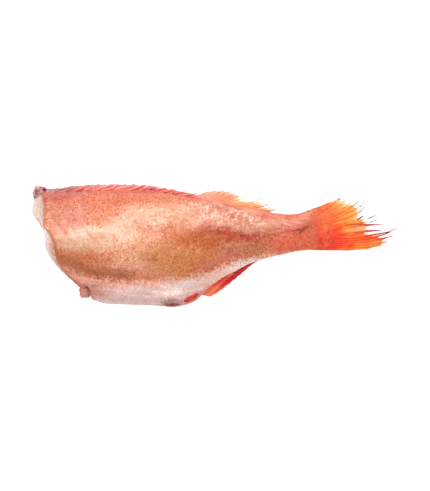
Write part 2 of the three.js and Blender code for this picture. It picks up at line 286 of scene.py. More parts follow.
FLAP_SHARE = [(-140, 0.33), (-100, 0.3), (-60, 0.27), (-35, 0.27), (-15, 0.2), (6, 0.02), (78, 0.02)]
FLAP_ROUND = 0.07
FLAP_SAG = [(-140, 8.5), (-95, 9.5), (-40, 9), (-20, 6.5), (0, 2), (15, 0), (78, 0)]
SAG_STARTS = 0.5
UPPER_CUT = [
    (-46, -85.5), (-38.8, -86.5), (-33, -92), (-26.5, -98.5), (-20, -104.5), (-14, -108.6), (-4, -111.6),
    (6, -114.6), (11, -118.4), (14, -120.2), (27, -119.4), (41, -120.8), (46, -121),
]
LOWER_CUT = [
    (-46, -86.5), (-38.8, -88), (-33, -93.6), (-27, -99.8), (-22.5, -105.6), (-17, -111.4), (-9, -117),
    (0, -120.4), (9, -122), (14, -124.4), (19, -128), (24, -130), (34, -130.4), (39, -128.6), (46, -126),
]
CUT_HEIGHT = 38.0  # the lower cut lies on the table, and the upper one at this height
FLESH_LOBES = [(27, 11, 2.6), (-3, 12, 2.2)]  # centre, spread and swelling
CAVITY_TOP = 7.0
CAVITY_BOTTOM = -33.0
CAVITY_HALF_WIDTHS = [(0, 2.4), (0.35, 4.2), (0.75, 8.4), (1, 8.6)]
CAVITY_END_X = -56.0
CAVITY_END_TOP = -3.0
CAVITY_END_BOTTOM = -26.0
CAVITY_NARROWING = 0.42
BODY_END = 78.0
TAIL_ROOT_CURVE = 9.0  # how far the scaled skin's end is bent back in the middle
SLIGHT_X = 0.3  # steps of the small differences that give the body's normals, in mm and in radians
SLIGHT_ANGLE = 0.02
JUST_ABOVE = 0.02  # the lowest height of thin parts over the table, in mm


def through(stations):
    """A smooth line through stations (at, value) that never overshoots them."""
    at, value = (np.array(column, float) for column in zip(*stations))
    slope = np.diff(value) / np.diff(at)
    before, after = slope[:-1], slope[1:]
    steady = before * after > 0
    tangent = np.zeros(len(at))
    total = np.where(steady, before + after, 1)
    tangent[1:-1] = np.where(steady, 2 * before * after / total, 0)

    def line(x):
        x = np.clip(x, at[0], at[-1])
        i = np.clip(np.searchsorted(at, x, side="right") - 1, 0, len(at) - 2)
        width = at[i + 1] - at[i]
        t = (x - at[i]) / width
        cubic = 2 * t**3 - 3 * t**2
        bend = (t**3 - 2 * t**2 + t) * tangent[i] + (t**3 - t**2) * tangent[i + 1]
        return value[i] * (cubic + 1) - value[i + 1] * cubic + width * bend

    return line


back_edge = through(BACK_EDGE)
belly_edge = through(BELLY_EDGE)
half_thickness = through(HALF_THICKNESS)
middle_height = through(MIDDLE_HEIGHT)
dome_top = through(DOME_TOP)
dome_foot = through(DOME_FOOT)
dome_slope = through(DOME_SLOPE)
flap_share = through(FLAP_SHARE)
flap_sag = through(FLAP_SAG)
upper_cut = through(UPPER_CUT)
lower_cut = through(LOWER_CUT)
cavity_half_width = through(CAVITY_HALF_WIDTHS)
print("body from the cut to the tail's root:", LOWER_CUT[12][1], "to", BODY_END, "mm")

# %% The body's surface


def lerp(first, second, share):
    return first + (second - first) * share


def step(low, high, value):
    """0 before low, 1 past high, and smooth between; low may be the larger one."""
    t = np.clip((value - low) / (high - low), 0, 1)
    return t * t * (3 - 2 * t)


def section_share(x, v):
    """Share of the half thickness at a share v of the depth, from 0 at the belly to 1 at the back."""
    top, foot = dome_top(x), dome_foot(x)
    flap = flap_share(x) * np.sqrt(1 - (1 - np.minimum(1, v / FLAP_ROUND)) ** 2)
    reach = np.where(v > top, (v - top) / (1 - top), (top - v) / (top - foot))
    roundness = np.where(v > top, 0.5, dome_slope(x))
    dome = np.maximum(0, 1 - reach**2) ** roundness
    faded = flap * np.clip((1 - v) / (1 - top), 0, 1) ** 0.5
    return np.cbrt(dome**3 + faded**3)


def middle_at(x, v):
    """Height of the plane between the two flanks."""
    return middle_height(x) - flap_sag(x) * np.clip(1 - v / SAG_STARTS, 0, 1) ** 1.6


def body_point(x, angle):
    """A point of the outer surface. Angle 0 is the belly and pi the back; past pi is the lower side."""
    x, angle = np.broadcast_arrays(np.asarray(x, float), np.asarray(angle, float))
    v = (1 - np.cos(angle)) / 2
    side = np.where(np.mod(angle, 2 * np.pi) <= np.pi, 1, -1)
    z = middle_at(x, v) + side * half_thickness(x) * section_share(x, v)
    y = lerp(belly_edge(x), back_edge(x), v)
    return np.stack([x, y, np.maximum(z, 0)], axis=-1)


def depth_share(x, y):
    """The share v of the depth at a place seen from the side, from 0 at the belly to 1 at the back."""
    low, high = belly_edge(x), back_edge(x)
    return np.clip((y - low) / (high - low), 0, 1)


def body_middle(x, y):
    """Height of the body's middle plane at a place seen from the side."""
    return middle_at(x, depth_share(x, y))


def body_half(x, y):
    """Half the body's thickness at a place seen from the side."""
    return half_thickness(x) * section_share(x, depth_share(x, y))


def top_height(x, y):
    """Height of the upper surface at a place seen from the side."""
    return body_middle(x, y) + body_half(x, y)


def spot(x, y, middle_x, middle_y, long, high):
    """1 in the middle of an oval, and fading to 0 around it."""
    return np.exp(-(((x - middle_x) / long) ** 2) - (((y - middle_y) / high) ** 2))


def cut_x(y, z):
    """Where the slanting cut lies."""
    return lerp(lower_cut(y), upper_cut(y), np.clip(z / CUT_HEIGHT, 0, 1))


def cut_edge(angle):
    """The skin's edge at the cut, for each angle: found by moving nearer to it a few times."""
    point = body_point(np.full_like(angle, -100.0), angle)
    for _ in range(12):
        x = lerp(point[:, 0], cut_x(point[:, 1], point[:, 2]), 0.8)
        point = body_point(x, angle)
    return point


def unit(vectors):
    length = np.linalg.norm(vectors, axis=-1, keepdims=True)
    return vectors / np.maximum(length, 1e-9)


def differences(surface, x, angle, slight_x, slight_angle):
    """How a surface runs towards the tail and round the body, from points a little apart."""
    ahead = surface(x + slight_x, angle) - surface(x - slight_x, angle)
    around = surface(x, angle + slight_angle) - surface(x, angle - slight_angle)
    return ahead, around


def outward(x, angle):
    """The normal of the body's surface."""
    return unit(np.cross(*differences(body_point, x, angle, SLIGHT_X, SLIGHT_ANGLE)))


print("deepest section:", round(float(np.ptp(body_point(-60, np.linspace(0, 6.28, 99))[:, 1])), 1), "mm")

# %% [markdown]
# ## Making meshes
#
# The pieces are made from grids of points. A ring grid closes round itself; a sheet grid becomes a
# thin solid with two faces and a rim, so that nothing has a raw edge. Finished pieces ride on the one
# body of the frame.

# %% Meshes and pieces


def new_mesh(name, points, faces, edges=()):
    """A smooth mesh from points in millimetres."""
    mesh = bpy.data.meshes.new(name)
    mesh.from_pydata((np.asarray(points) * MM).tolist(), list(edges), faces)
    mesh.update()
    mesh.shade_smooth()
    return mesh


def placed(name, mesh):
    """An object that shows a mesh."""
    thing = bpy.data.objects.new(name, mesh)
    bpy.context.scene.collection.objects.link(thing)
    return thing


def store(mesh, name, values):
    """Stores a number or a vector for each point."""
    values = np.asarray(values, np.float32)
    kind, field = ("FLOAT_VECTOR", "vector") if values.ndim == 2 else ("FLOAT", "value")
    mesh.attributes.new(name, kind, "POINT").data.foreach_set(field, values.ravel())


def flat_vectors(*numbers):
    """Vectors from two arrays of numbers; their third number is 0."""
    first, second = (np.ravel(values) for values in np.broadcast_arrays(*numbers))
    return np.stack([first, second, np.zeros_like(first)], axis=1)


def keep_inside(mesh):
    """Nothing reaches below the table or out of the solid's box."""
    co = np.zeros(len(mesh.vertices) * 3, np.float32)
    mesh.vertices.foreach_get("co", co)
    low, high = (np.array(corner) for corner in cad_box)
    mesh.vertices.foreach_set("co", np.clip(co.reshape(-1, 3), low, high).astype(np.float32).ravel())
    mesh.update()


def finish_piece(piece):
    keep_inside(piece.data)
    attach(piece, "root")
    print(f"{piece.name}: {sum(len(p.vertices) - 2 for p in piece.data.polygons)} triangles")
    return piece


def volume_of(points, faces):
    """Six times the volume that triangles or quads enclose; negative if they face inward."""
    corners = points[faces]
    total = 0
    for k in range(1, corners.shape[1] - 1):
        total = total + np.cross(corners[:, k], corners[:, k + 1])
    return (corners[:, 0] * total).sum()


def make_piece(name, points, groups, materials, stored=None, material_of=None):
    """A finished piece from points in millimetres and groups of faces, which are turned outward."""
    if sum(volume_of(points, group) for group in groups) < 0:
        groups = [group[:, ::-1] for group in groups]
    mesh = new_mesh(name, points, [face for group in groups for face in group.tolist()])
    for material in materials:
        mesh.materials.append(material)
    if material_of is not None:
        mesh.polygons.foreach_set("material_index", material_of)
    for key, values in (stored or {}).items():
        store(mesh, key, values)
    return finish_piece(placed(name, mesh))


print("pieces have to stay inside", in_mm(cad_box))

# %% Grids of points


def ring_faces(rows, columns):
    """Quads between closed rings of points, one ring after another."""
    i, j = np.meshgrid(np.arange(rows - 1), np.arange(columns), indexing="ij")
    after = (j + 1) % columns
    quads = [i * columns + j, i * columns + after, (i + 1) * columns + after, (i + 1) * columns + j]
    return np.stack(quads, axis=-1).reshape(-1, 4)


def cap_faces(ring_start, columns, centre, turned):
    """A fan of triangles over a ring."""
    j = np.arange(columns)
    after = (j + 1) % columns
    first, second = (after, j) if turned else (j, after)
    return np.stack([np.full(columns, centre), ring_start + first, ring_start + second], axis=-1)


def closed_tube(rings, first_corner=0):
    """Points and face groups of rings that follow one another, with a fan over each end.

    first_corner is the corner that faces start from, and so it says along which diagonal they split.
    """
    rows, columns = rings.shape[:2]
    points = np.concatenate([rings.reshape(-1, 3), rings[[0, -1]].mean(axis=1)])
    first = cap_faces(0, columns, rows * columns, True)
    last = cap_faces((rows - 1) * columns, columns, rows * columns + 1, False)
    groups = [ring_faces(rows, columns), first, last]
    return points, [np.roll(group, -first_corner, axis=1) for group in groups]


def closed_sheet(grid, half):
    """Points and face groups of a thin solid round middle points; half is half its thickness."""
    rows, columns = grid.shape[:2]
    lift = np.zeros_like(grid)
    lift[..., 2] = half
    points = np.concatenate([(grid + lift).reshape(-1, 3), (grid - lift).reshape(-1, 3)])
    points[:, 2] = np.maximum(points[:, 2], JUST_ABOVE)
    count = rows * columns
    index = np.arange(count).reshape(rows, columns)
    corners = [index[:-1, :-1], index[:-1, 1:], index[1:, 1:], index[1:, :-1]]
    top = np.stack(corners, axis=-1).reshape(-1, 4)
    under = top[:, ::-1] + count
    rim = np.concatenate([index[0, :], index[1:, -1], index[-1, -2::-1], index[-2:0:-1, 0]])
    after = np.roll(rim, -1)
    walls = np.stack([after, rim, rim + count, after + count], axis=-1)
    return points, [top, under, walls]


def ripple(x, y, wavelength, seed, count=7):
    """Smooth unevenness between about -1 and 1: a sum of waves in seeded directions."""
    draw = np.random.default_rng(seed)
    total = 0
    for _ in range(count):
        turn = draw.uniform(0, 2 * np.pi)
        length = wavelength * draw.uniform(0.6, 1.7)
        across = (x * np.cos(turn) + y * np.sin(turn)) * 2 * np.pi / length
        total = total + np.sin(across + draw.uniform(0, 2 * np.pi))
    return total / count**0.5


print("unevenness reaches", round(float(np.abs(ripple(np.arange(300.0), 0, 40, 1)).max()), 2))

# %% [markdown]
# ## Colours of the skin
#
# A redfish is orange-red, but not evenly. Its back is redder, a pale wet band runs along the flank,
# the middle is ochre with a greyish patch, a brown band leads to the tail, and the emptied belly is
# silvery pink. The pale band is partly the skin's paler tone and partly painted sheen where the soft
# box's reflection lies, with painted glints and painted highlight streaks; the belly has a painted
# highlight and painted light on its shaded end. The colours are placed in Object coordinates, in
# millimetres, by soft bands and patches whose edges are broken up with noise. The skin and the scales
# share them: the skin between the scales is darker, partly as painted shade in the gaps, and each
# scale has its own tint, a paler free edge, and painted shade on its root under the scale in front.

# %% Palette
PALETTE = {
    "flank": tone(224, 126, 86),
    "upper_front": tone(219, 134, 108),
    "back": tone(214, 108, 80),
    "nape_edge": tone(120, 54, 50),
    "nape": tone(192, 94, 82),
    "low_flank": tone(246, 168, 130),
    "low_front": tone(210, 106, 50),
    "low_brown": tone(176, 86, 34),
    "ochre": tone(214, 126, 72),
    "rust": tone(194, 94, 46),
    "low_rear": tone(210, 114, 84),
    "grey_patch": tone(196, 116, 86),
    "brown_band": tone(184, 46, 8),
    "stalk_low": tone(228, 102, 70),
    "stalk_up": tone(232, 124, 96),
    # Pale band and front: the skin's paler tone with painted sheen where the soft box reflects.
    "pale_sheen_band": tone(236, 168, 134),
    "pale_sheen_front": tone(242, 182, 148),
    "pale_rear": tone(218, 126, 92),
    "stalk_edge": tone(206, 92, 62),
    "streak": tone(150, 38, 14),
    "tail_shadow": tone(224, 100, 68),
    "belly": tone(232, 190, 180),
    "belly_front": tone(200, 132, 116),
    "belly_low": tone(216, 174, 168),
    # A painted silver highlight on the middle of the belly.
    "belly_highlight": tone(250, 220, 210),
    "belly_rear": tone(255, 202, 182),
    # Painted light on the belly's end by the anal fin, a slope that lies in shade.
    "belly_end_painted_light": tone(255, 224, 214),
    "belly_seam": tone(246, 180, 158),
    "blood": tone(228, 102, 90),
    "vent": tone(150, 76, 72),
    "cut_rim": tone(196, 82, 34),
}


class Field:
    """Places on the fish for a material: x, y and z in millimetres, x and y a little uneven."""

    def __init__(self, bench, unevenness=2.2, shift=None):
        """unevenness is in millimetres; shift, also in millimetres, takes the colour from beside a place."""
        self.bench = bench
        self.coordinates = bench.node("ShaderNodeTexCoord").outputs["Object"]
        values = {"Vector": self.coordinates, "Scale": 95.0, "Detail": 2.0, "Roughness": 0.45}
        uneven = bench.node("ShaderNodeTexNoise", values=values).outputs["Color"]
        place = [number * (1 / MM) for number in bench.parts(self.coordinates)]
        shake = [(number - 0.5) * (4 * unevenness) for number in bench.parts(uneven)]
        self.x = place[0] + shake[0]
        self.y = place[1] + shake[1]
        self.z = place[2]
        self.true_y = place[1]
        self.steady_y = self.y
        if shift is not None:
            self.x = self.x + shift
            self.y = self.y + ((shift * 7.7 + 100).math("FRACT") - 0.5) * 3

    def patch(self, x, y, long, high, slope=0.0):
        """1 in the middle of an oval patch and 0 outside; slope leans its long axis."""
        across = (self.x - x) / long
        up = (self.y - y - (self.x - x) * slope) / high
        return (across * across + up * up).smooth(1.3, 0.15)

    def line(self, stations):
        """The height y of a line through stations, for every x, as a curve node."""
        half_long, half_high = 140.0, 50.0  # the curve's square, in mm
        share = (self.x + half_long) / (2 * half_long)
        curve = self.bench.node("ShaderNodeFloatCurve", values={"Value": share})
        points = curve.mapping.curves[0].points
        places = [((x + half_long) / (2 * half_long), 0.5 + y / (2 * half_high)) for x, y in stations]
        points[0].location = places[0]
        points[-1].location = places[-1]
        for place in places[1:-1]:
            points.new(*place)
        curve.mapping.update()
        return (Wire(self.bench, curve.outputs[0]) - 0.5) * (2 * half_high)

    def band(self, stations, half_width, soft=0.6, steady=False):
        """1 on a line through stations and 0 beyond half_width; a steady one isn't broken up."""
        y = self.steady_y if steady else self.y
        return (abs(y - self.line(stations)) / half_width).smooth(1 + soft, 1 - soft)

    def texture(self, scale, detail=2.0, roughness=0.6, long=(1, 1, 1), turn=0.0):
        """Noise from 0 to 1, in cycles per metre, drawn out along axes turned by an angle."""
        mapping = {0: self.coordinates, "Rotation": (0, 0, turn), "Scale": long}
        place = self.bench.node("ShaderNodeMapping", {"vector_type": "TEXTURE"}, mapping).outputs[0]
        values = {"Vector": place, "Scale": scale, "Detail": detail, "Roughness": roughness}
        return self.bench.wire("ShaderNodeTexNoise", values=values)


print(len(PALETTE), "colours of skin")

# %% Where the colours lie, in millimetres
BACK_LINE = [(-140, 30), (-100, 31), (-60, 31), (-30, 33), (0, 28), (30, 21), (60, 18), (90, 24)]
# Middle of the pale band: partly the skin's paler tone, partly painted sheen.
PALE_SHEEN_CORE = [
    (-140, 3), (-104, 4), (-88, 5.4), (-76, 9.5), (-64, 17), (-50, 20.4), (-34, 21), (-8, 21), (17, 18.6),
    (43, 16), (60, 15),
]
PALE_REAR = [(-140, 24), (-14, 24), (5, 21.5), (18, 18), (30, 16.4), (45, 14.6), (60, 14)]
LOW_FRONT_TOP = [(-140, -2), (-109, -1), (-82, -1.6), (-66, -8), (-54, -14), (90, -16)]
LOW_BROWN = [(-140, 0), (-110, -8), (-98, -14), (-85, -18.6), (-68, -20.5), (-52, -22), (90, -22)]
BELLY_LINE = [
    (-140, -17), (-110, -18), (-96, -22), (-84, -25.6), (-66, -27), (-40, -26.6), (-24, -24.6), (-10, -21.6),
    (0, -18), (16, -11.4), (28, -8.8), (39, -7), (53, -5.2), (90, -5),
]
BROWN_LINE = [
    (-140, 12), (-20, 14), (-8, 13.4), (0, 11.4), (10, 9.4), (21, 7.8), (30, 8.4), (40, 9.4), (50, 10),
    (58, 11), (69, 13.6), (90, 15),
]
STALK_EDGE = [(-140, 60), (28, 25), (38, 21.6), (48, 20), (56, 20.2), (64, 23), (90, 32)]
print("the brown line has", len(BROWN_LINE), "stations")

# %% Colours of the flank, the belly and the tail's root


def tail_glow(field):
    """The glow at the tail's root, which the skin and the fin share: blotched red below, orange above."""
    bench = field.bench
    cloud = field.texture(170, 4)
    low = bench.mix(cloud.smooth(0.4, 0.6), tone(202, 56, 30), tone(242, 90, 52))
    high = bench.mix(cloud.smooth(0.4, 0.6), tone(234, 90, 44), tone(245, 122, 64))
    return bench.mix((field.y - 10 + (cloud - 0.5) * 10).smooth(-3, 5), low, high)


def flank_colour(field):
    """The flank's colours, laid over one another: where each lies, its name and its strength."""
    x, y = field.x, field.y
    rear = x.smooth(30, 52)
    on_top = field.z.smooth(8, 15)
    to_tail = x + abs(y - 9) * 0.3
    along = field.texture(300, 3, 0.6, (3.6, 0.7, 1), -0.1)
    over_back = y - field.line(BACK_LINE)
    over_nape = (y - 31 - (x + 112) * 0.28).smooth(-3, 4) * x.smooth(-74, -98)
    nape_edge = (y - 39).smooth(-1.4, 0.6) * x.smooth(-94, -110) * along.smooth(0.3, 0.55)
    under_front = (field.line(LOW_FRONT_TOP) - field.steady_y).smooth(-0.8, 1.2)
    brown = field.band(BROWN_LINE, 4.2, 0.8)
    over_brown = y - field.line(BROWN_LINE)
    under_brown = field.line(BROWN_LINE) - y
    streaks = field.band(BROWN_LINE, 2.8, 0.9, steady=True) * along.smooth(0.44, 0.58)
    dark_line = field.band(BROWN_LINE, 0.9, 0.5, steady=True)
    steps = [
        (x.smooth(-74, -104) * (y - 15).smooth(-5, 6), "upper_front", 0.9),
        (over_back.smooth(-5, 7), "back", 0.9),
        (over_nape * on_top, "nape", 0.9),
        (nape_edge * on_top, "nape_edge", 0.85),
        (field.patch(-57, -5, 42, 16), "low_flank", 0.95),
        (under_front * x.smooth(-58, -94), "low_front", 0.9),
        (field.band(LOW_BROWN, 4.2) * x.smooth(-50, -66), "low_brown", 0.8),
        (field.patch(-22, -9, 32, 17, 0.05), "ochre", 0.95),
        (field.patch(-6, 4.5, 25, 7), "rust", 0.85),
        (field.patch(6, -12, 27, 8, 0.3), "low_rear", 0.85),
        (field.patch(22, -1, 23, 7, 0.1), "grey_patch", 0.85),
        (brown * x.smooth(-22, -2) * x.smooth(74, 58), "brown_band", 0.9),
        (under_brown.smooth(-2, 3) * rear, "stalk_low", 0.9),
        (over_brown.smooth(-1, 3) * rear, "stalk_up", 0.85),
        # Painted sheen: lighter where the soft box's reflection lies, over the skin's paler tone.
        (field.band(PALE_SHEEN_CORE, 7.5, 0.8) * x.smooth(56, 32), "pale_sheen_band", 0.85),
        (field.patch(-80, 4.4, 32, 9, 0.06), "pale_sheen_front", 0.85),
        (field.patch(-48, 20.4, 20, 6.5, 0.06), "pale_sheen_front", 0.6),
        (field.band(PALE_REAR, 3.6, 0.7) * x.smooth(-24, -10) * x.smooth(58, 42), "pale_rear", 0.8),
        ((y - field.line(STALK_EDGE)).smooth(-1.5, 1.5) * x.smooth(26, 40), "stalk_edge", 0.8),
        (streaks * x.smooth(-16, 0), "streak", 0.55),
        (dark_line * x.smooth(54, 59) * x.smooth(71, 67), "streak", 0.85),
        (to_tail.smooth(62, 74) * (y - 16).smooth(3, -4), "tail_shadow", 0.7),
        (field.patch(33, 21.8, 13, 2.8, -0.25), "tail_shadow", 0.7),
        (field.patch(0, 29.5, 22, 4, -0.25), "back", 0.5),
    ]
    colour = PALETTE["flank"]
    for mask, name, strength in steps:
        colour = field.bench.mix(mask * strength, colour, PALETTE[name])
    return colour


def belly_colour(field):
    """Silvery pink, redder in front and paler behind, with two patches of painted light on it."""
    x, y = field.x, field.y
    steps = [
        (x.smooth(-62, -88), PALETTE["belly_front"]),
        ((y + 36).smooth(3, -4), PALETTE["belly_low"]),
        # A painted silver highlight on the middle of the belly.
        (field.patch(-25, -28, 20, 8, 0.1) * 0.9, PALETTE["belly_highlight"]),
        (x.smooth(-20, 4), PALETTE["belly_rear"]),
        # Painted light: paler on the slope by the anal fin, which lies in shade.
        (field.patch(21, -11.5, 16, 4, 0.4) * 0.8, PALETTE["belly_end_painted_light"]),
    ]
    colour = PALETTE["belly"]
    for mask, change in steps:
        colour = field.bench.mix(mask, colour, change)
    return colour


def skin_colour(field):
    """The large colours of the skin, and where it is belly."""
    bench = field.bench
    x, y = field.x, field.y
    patchy = field.texture(150, 4)
    depth = field.line(BELLY_LINE) - y
    below = depth.smooth(-2, 3)
    seam = (abs(depth) / 3.2).smooth(1.4, 0.3) * x.smooth(24, 2)
    colour = bench.mix((x + (patchy - 0.5) * 26).smooth(68, 78), flank_colour(field), tail_glow(field))
    colour = bench.mix(below * x.smooth(66, 44), colour, belly_colour(field))
    colour = bench.mix(seam * 0.6, colour, PALETTE["belly_seam"])
    colour = bench.mix(field.patch(-15, -37.5, 15, 4.6, 0.55) * 0.7, colour, PALETTE["blood"])
    return bench.mix(field.patch(-32, -42, 9, 3) * 0.6, colour, PALETTE["vent"]), below


def wetness(field):
    """Where the skin is wettest: the pale bands shine most, and the low front least."""
    shine = field.band(PALE_SHEEN_CORE, 9, 0.9) * 0.5 + field.patch(-86, 6, 34, 12) * 0.3
    return shine + field.band(PALE_REAR, 5, 0.9) * field.x.smooth(-30, -8) * 0.5 + 0.2


def cut_rim(field):
    """1 at the skin's cut edge and 0 a few millimetres behind it; the browned rim is broad only below."""
    near = field.bench.stored("near_cut")
    broad = field.y.smooth(14, 4)
    thin = near.smooth(0.5, 1.0) * field.texture(420, 3).smooth(0.4, 0.62)
    return thin * (1 - broad) * 0.7 + near.smooth(0.1, 0.6) * broad * 0.8


print("the skin's colours come from", len(PALETTE), "tones")

# %% Materials of the skin and the scales
WET_LIGHT = {"Specular IOR Level": 0.3, "Subsurface Radius": (1.0, 0.35, 0.2)}


def mottled_skin(field):
    """The skin's colour with dark grain, for the skin itself and for the roots of the fins."""
    bench = field.bench
    colour, below = skin_colour(field)
    grain = field.texture(900, 3)
    blotch = field.texture(150, 4)
    # Dark grain, which on the body is also painted shade in the gaps between the scales.
    colour = bench.shade(grain.smooth(0.4, 0.7) * (1 - below * 0.6), colour, (0.84, 0.66, 0.56))
    return bench.shade(blotch.smooth(0.5, 0.72) * 0.5, colour, (0.96, 0.8, 0.76)), below, grain


def make_skin_material():
    material, bench = new_material("wet_skin")
    field = Field(bench)
    colour, below, grain = mottled_skin(field)
    wrinkle = field.texture(300, 4, 0.6, (3.0, 0.9, 1))
    colour = bench.shade(wrinkle.smooth(0.52, 0.68) * below, colour, (1.06, 1.18, 1.2))
    colour = bench.shade(wrinkle.smooth(0.46, 0.34) * below, colour, (0.94, 0.84, 0.84))
    colour = bench.mix(cut_rim(field), colour, PALETTE["cut_rim"])
    surface_shader(bench, {
        **WET_LIGHT, "Base Color": colour, "Roughness": 0.34 + grain * 0.25,
        "Coat Weight": wetness(field), "Coat Roughness": 0.14,
        "Subsurface Weight": 0.12, "Subsurface Scale": 0.002, "Normal": bumps(bench, grain, 0.12),
    })
    return material


def make_scale_material():
    """Every scale has its own tint, and takes its colour from a place a little beside its own."""
    material, bench = new_material("wet_scales")
    tint = bench.stored("tint")
    rim = bench.stored("free_edge")
    field = Field(bench, 1.6, (tint - 0.5) * 3.5)
    colour, below = skin_colour(field)
    speck = field.texture(820, 3)
    blotch = field.texture(190, 4)
    film = field.texture(170, 3, 0.55, (3.6, 0.8, 1), 0.1)
    glint = field.texture(420, 3, 0.6, (0.7, 1.8, 1), -0.35)
    wet = wetness(field)
    # The patches where glints are painted: behind the soft fin and on the front of the flank.
    wettest = field.patch(10, 21, 30, 7, -0.2) + field.patch(-93, 12, 15, 5) * 0.5
    plain = (1 - below * 0.5) * (1.25 - wet * 0.75)
    shades = [
        (blotch.smooth(0.5, 0.7) * plain * 0.7, (0.92, 0.76, 0.66)),
        (blotch.smooth(0.48, 0.3) * plain * 0.7, (1.08, 1.2, 1.26)),
        (tint.smooth(0.5, 1.0) * plain, (1.08, 1.3, 1.42)),
        (tint.smooth(0.5, 0.0) * plain, (0.84, 0.62, 0.5)),
        # Paler free edge; painted shade on the root, under the edge of the scale in front.
        (rim.smooth(0.6, 1.0) * plain, (1.08, 1.25, 1.35)),
        (rim.smooth(0.5, 0.1) * plain, (0.86, 0.68, 0.6)),
        (speck.smooth(0.55, 0.66) * plain, (0.74, 0.5, 0.4)),
        # Painted highlight streaks of the wet film, with darker streaks between them.
        (film.smooth(0.5, 0.62) * wet, (1.04, 1.16, 1.2)),
        (film.smooth(0.48, 0.36) * wet, (0.95, 0.84, 0.78)),
    ]
    for mask, change in shades:
        colour = bench.shade(mask, colour, change)
    # Pale painted highlight streaks of the wet film along the flank, fading before the tail.
    film_end = field.x.smooth(56, 40)
    colour = bench.mix(film.smooth(0.56, 0.64) * wet * film_end * 0.25, colour, tone(250, 206, 190))
    # Painted glints: whitish wet highlights in these patches, with darker gaps between them.
    colour = bench.mix(glint.smooth(0.54, 0.62) * wettest * 0.75, colour, tone(255, 222, 208))
    colour = bench.shade(glint.smooth(0.5, 0.38) * wettest, colour, (0.9, 0.74, 0.66))
    colour = bench.mix(cut_rim(field), colour, PALETTE["cut_rim"])
    surface_shader(bench, {
        **WET_LIGHT, "Base Color": colour, "Roughness": 0.28 + speck * 0.24,
        "Coat Weight": wet, "Coat Roughness": 0.13,
        "Subsurface Weight": 0.08, "Subsurface Scale": 0.0015, "Normal": bumps(bench, speck, 0.08),
    })
    return material


skin_material = make_skin_material()
scale_material = make_scale_material()
print("skin and scale materials:", len(skin_material.node_tree.nodes), "nodes")

# %% [markdown]
# ## Skin
#
# The skin is a closed grid over the form, slightly under the solid's surface so that the scales reach
# it. Real skin is not smooth: the emptied belly has long faint wrinkles, the muscle behind shows in
# weak chevrons, and the skin has slipped into small folds under the soft fin. This relief is moved
# into the mesh. At the cut the skin turns in over its own thickness, round the pocket for the flesh.

# %% Skin relief and mesh
SKIN_SINK = 0.85  # under the solid's surface, which the scales reach
SKIN_DEPTH = 0.9  # how thick it is at its cut edge
SKIN_INSIDE = 14  # rings of the pocket that the flesh lies in
SKIN_POCKET_END = -44.0
THINNEST_RELIEF = 3.0  # where half the fish is thinner than this, the relief fades
CUT_RIM = 1.7  # how far the browned edge reaches back
SKIN_AROUND = 168
SKIN_ALONG = 300
SKIN_SLIGHT_X = 0.25  # steps of the small differences that give the skin's normals
SKIN_SLIGHT_ANGLE = 0.012


def relief(x, y, v):
    """How far the skin stands out, in millimetres: wrinkles, muscle, slipped folds and dents."""
    belly = (1 - step(0.14, 0.26, v)) * (1 - step(-6, 14, x))
    wrinkles = ripple(x * 0.14, y, 3.6, 3) * 0.22 + ripple(x * 0.3, y, 9, 4) * 0.3
    chevron = np.sin((x + 56 * np.abs(v - 0.52)) * 2 * np.pi / 8.5)
    muscle = chevron * 0.09 * step(0.25, 0.4, v) * (1 - step(0.85, 0.98, v))
    folds = spot(x, y, -14, 27, 15, 6) * ripple(x * 0.5 + y, y * 0.4, 3.6, 8) * 0.34
    folds = folds + spot(x, y, 18, 21, 22, 5) * ripple(x, y * 0.8, 4.4, 9) * 0.3
    front = spot(x, y, -92, 13, 20, 9) * ripple(x * 0.6, y, 6.5, 10) * 0.16
    dents = ripple(x, y, 24, 5) * 0.24
    return belly * wrinkles + muscle + folds + front + dents * (1 - step(40, 70, x))


def end_x(angle):
    """Where the scaled skin ends on the root of the tail fin."""
    return BODY_END + 2.5 - 0.6 * TAIL_ROOT_CURVE * np.cos(angle) ** 2


def on_skin(x, angle, sink=SKIN_SINK):
    """A point of the skin, with its relief."""
    x, angle = np.broadcast_arrays(np.asarray(x, float), np.asarray(angle, float))
    point = body_point(x, angle)
    v = (1 - np.cos(angle)) / 2
    out = relief(x, point[..., 1], v) - sink
    thin = np.clip(half_thickness(x) * section_share(x, v) / THINNEST_RELIEF, 0, 1)
    point = point + outward(x, angle) * (out * thin)[..., None]
    middle = middle_at(x, v)
    into_fin = step(68, 79, x) * 0.8
    point[..., 2] = np.maximum(lerp(point[..., 2], middle, into_fin), 0.0)
    return point


def skin_frame(x, angle):
    """A point of the skin, its normal and the direction towards the tail, all with the relief."""
    ahead, around = differences(on_skin, x, angle, SKIN_SLIGHT_X, SKIN_SLIGHT_ANGLE)
    normal = unit(np.cross(ahead, around))
    pressed_flat = np.linalg.norm(np.cross(ahead, around), axis=-1) < 1e-6
    normal[pressed_flat] = outward(x, angle)[pressed_flat]
    return on_skin(x, angle), normal, unit(ahead)


def skin_start(angle):
    """Where the skin begins: it is cut a little raggedly, and slipped over the lower lobe."""
    edge = cut_edge(angle)
    slipped = np.exp(-(((edge[:, 1] + 4) / 12) ** 2)) * 0.9
    ragged = 0.28 * ripple(edge[:, 1], edge[:, 2], 5, 61)
    return edge[:, 0] + 0.2 - slipped + ragged


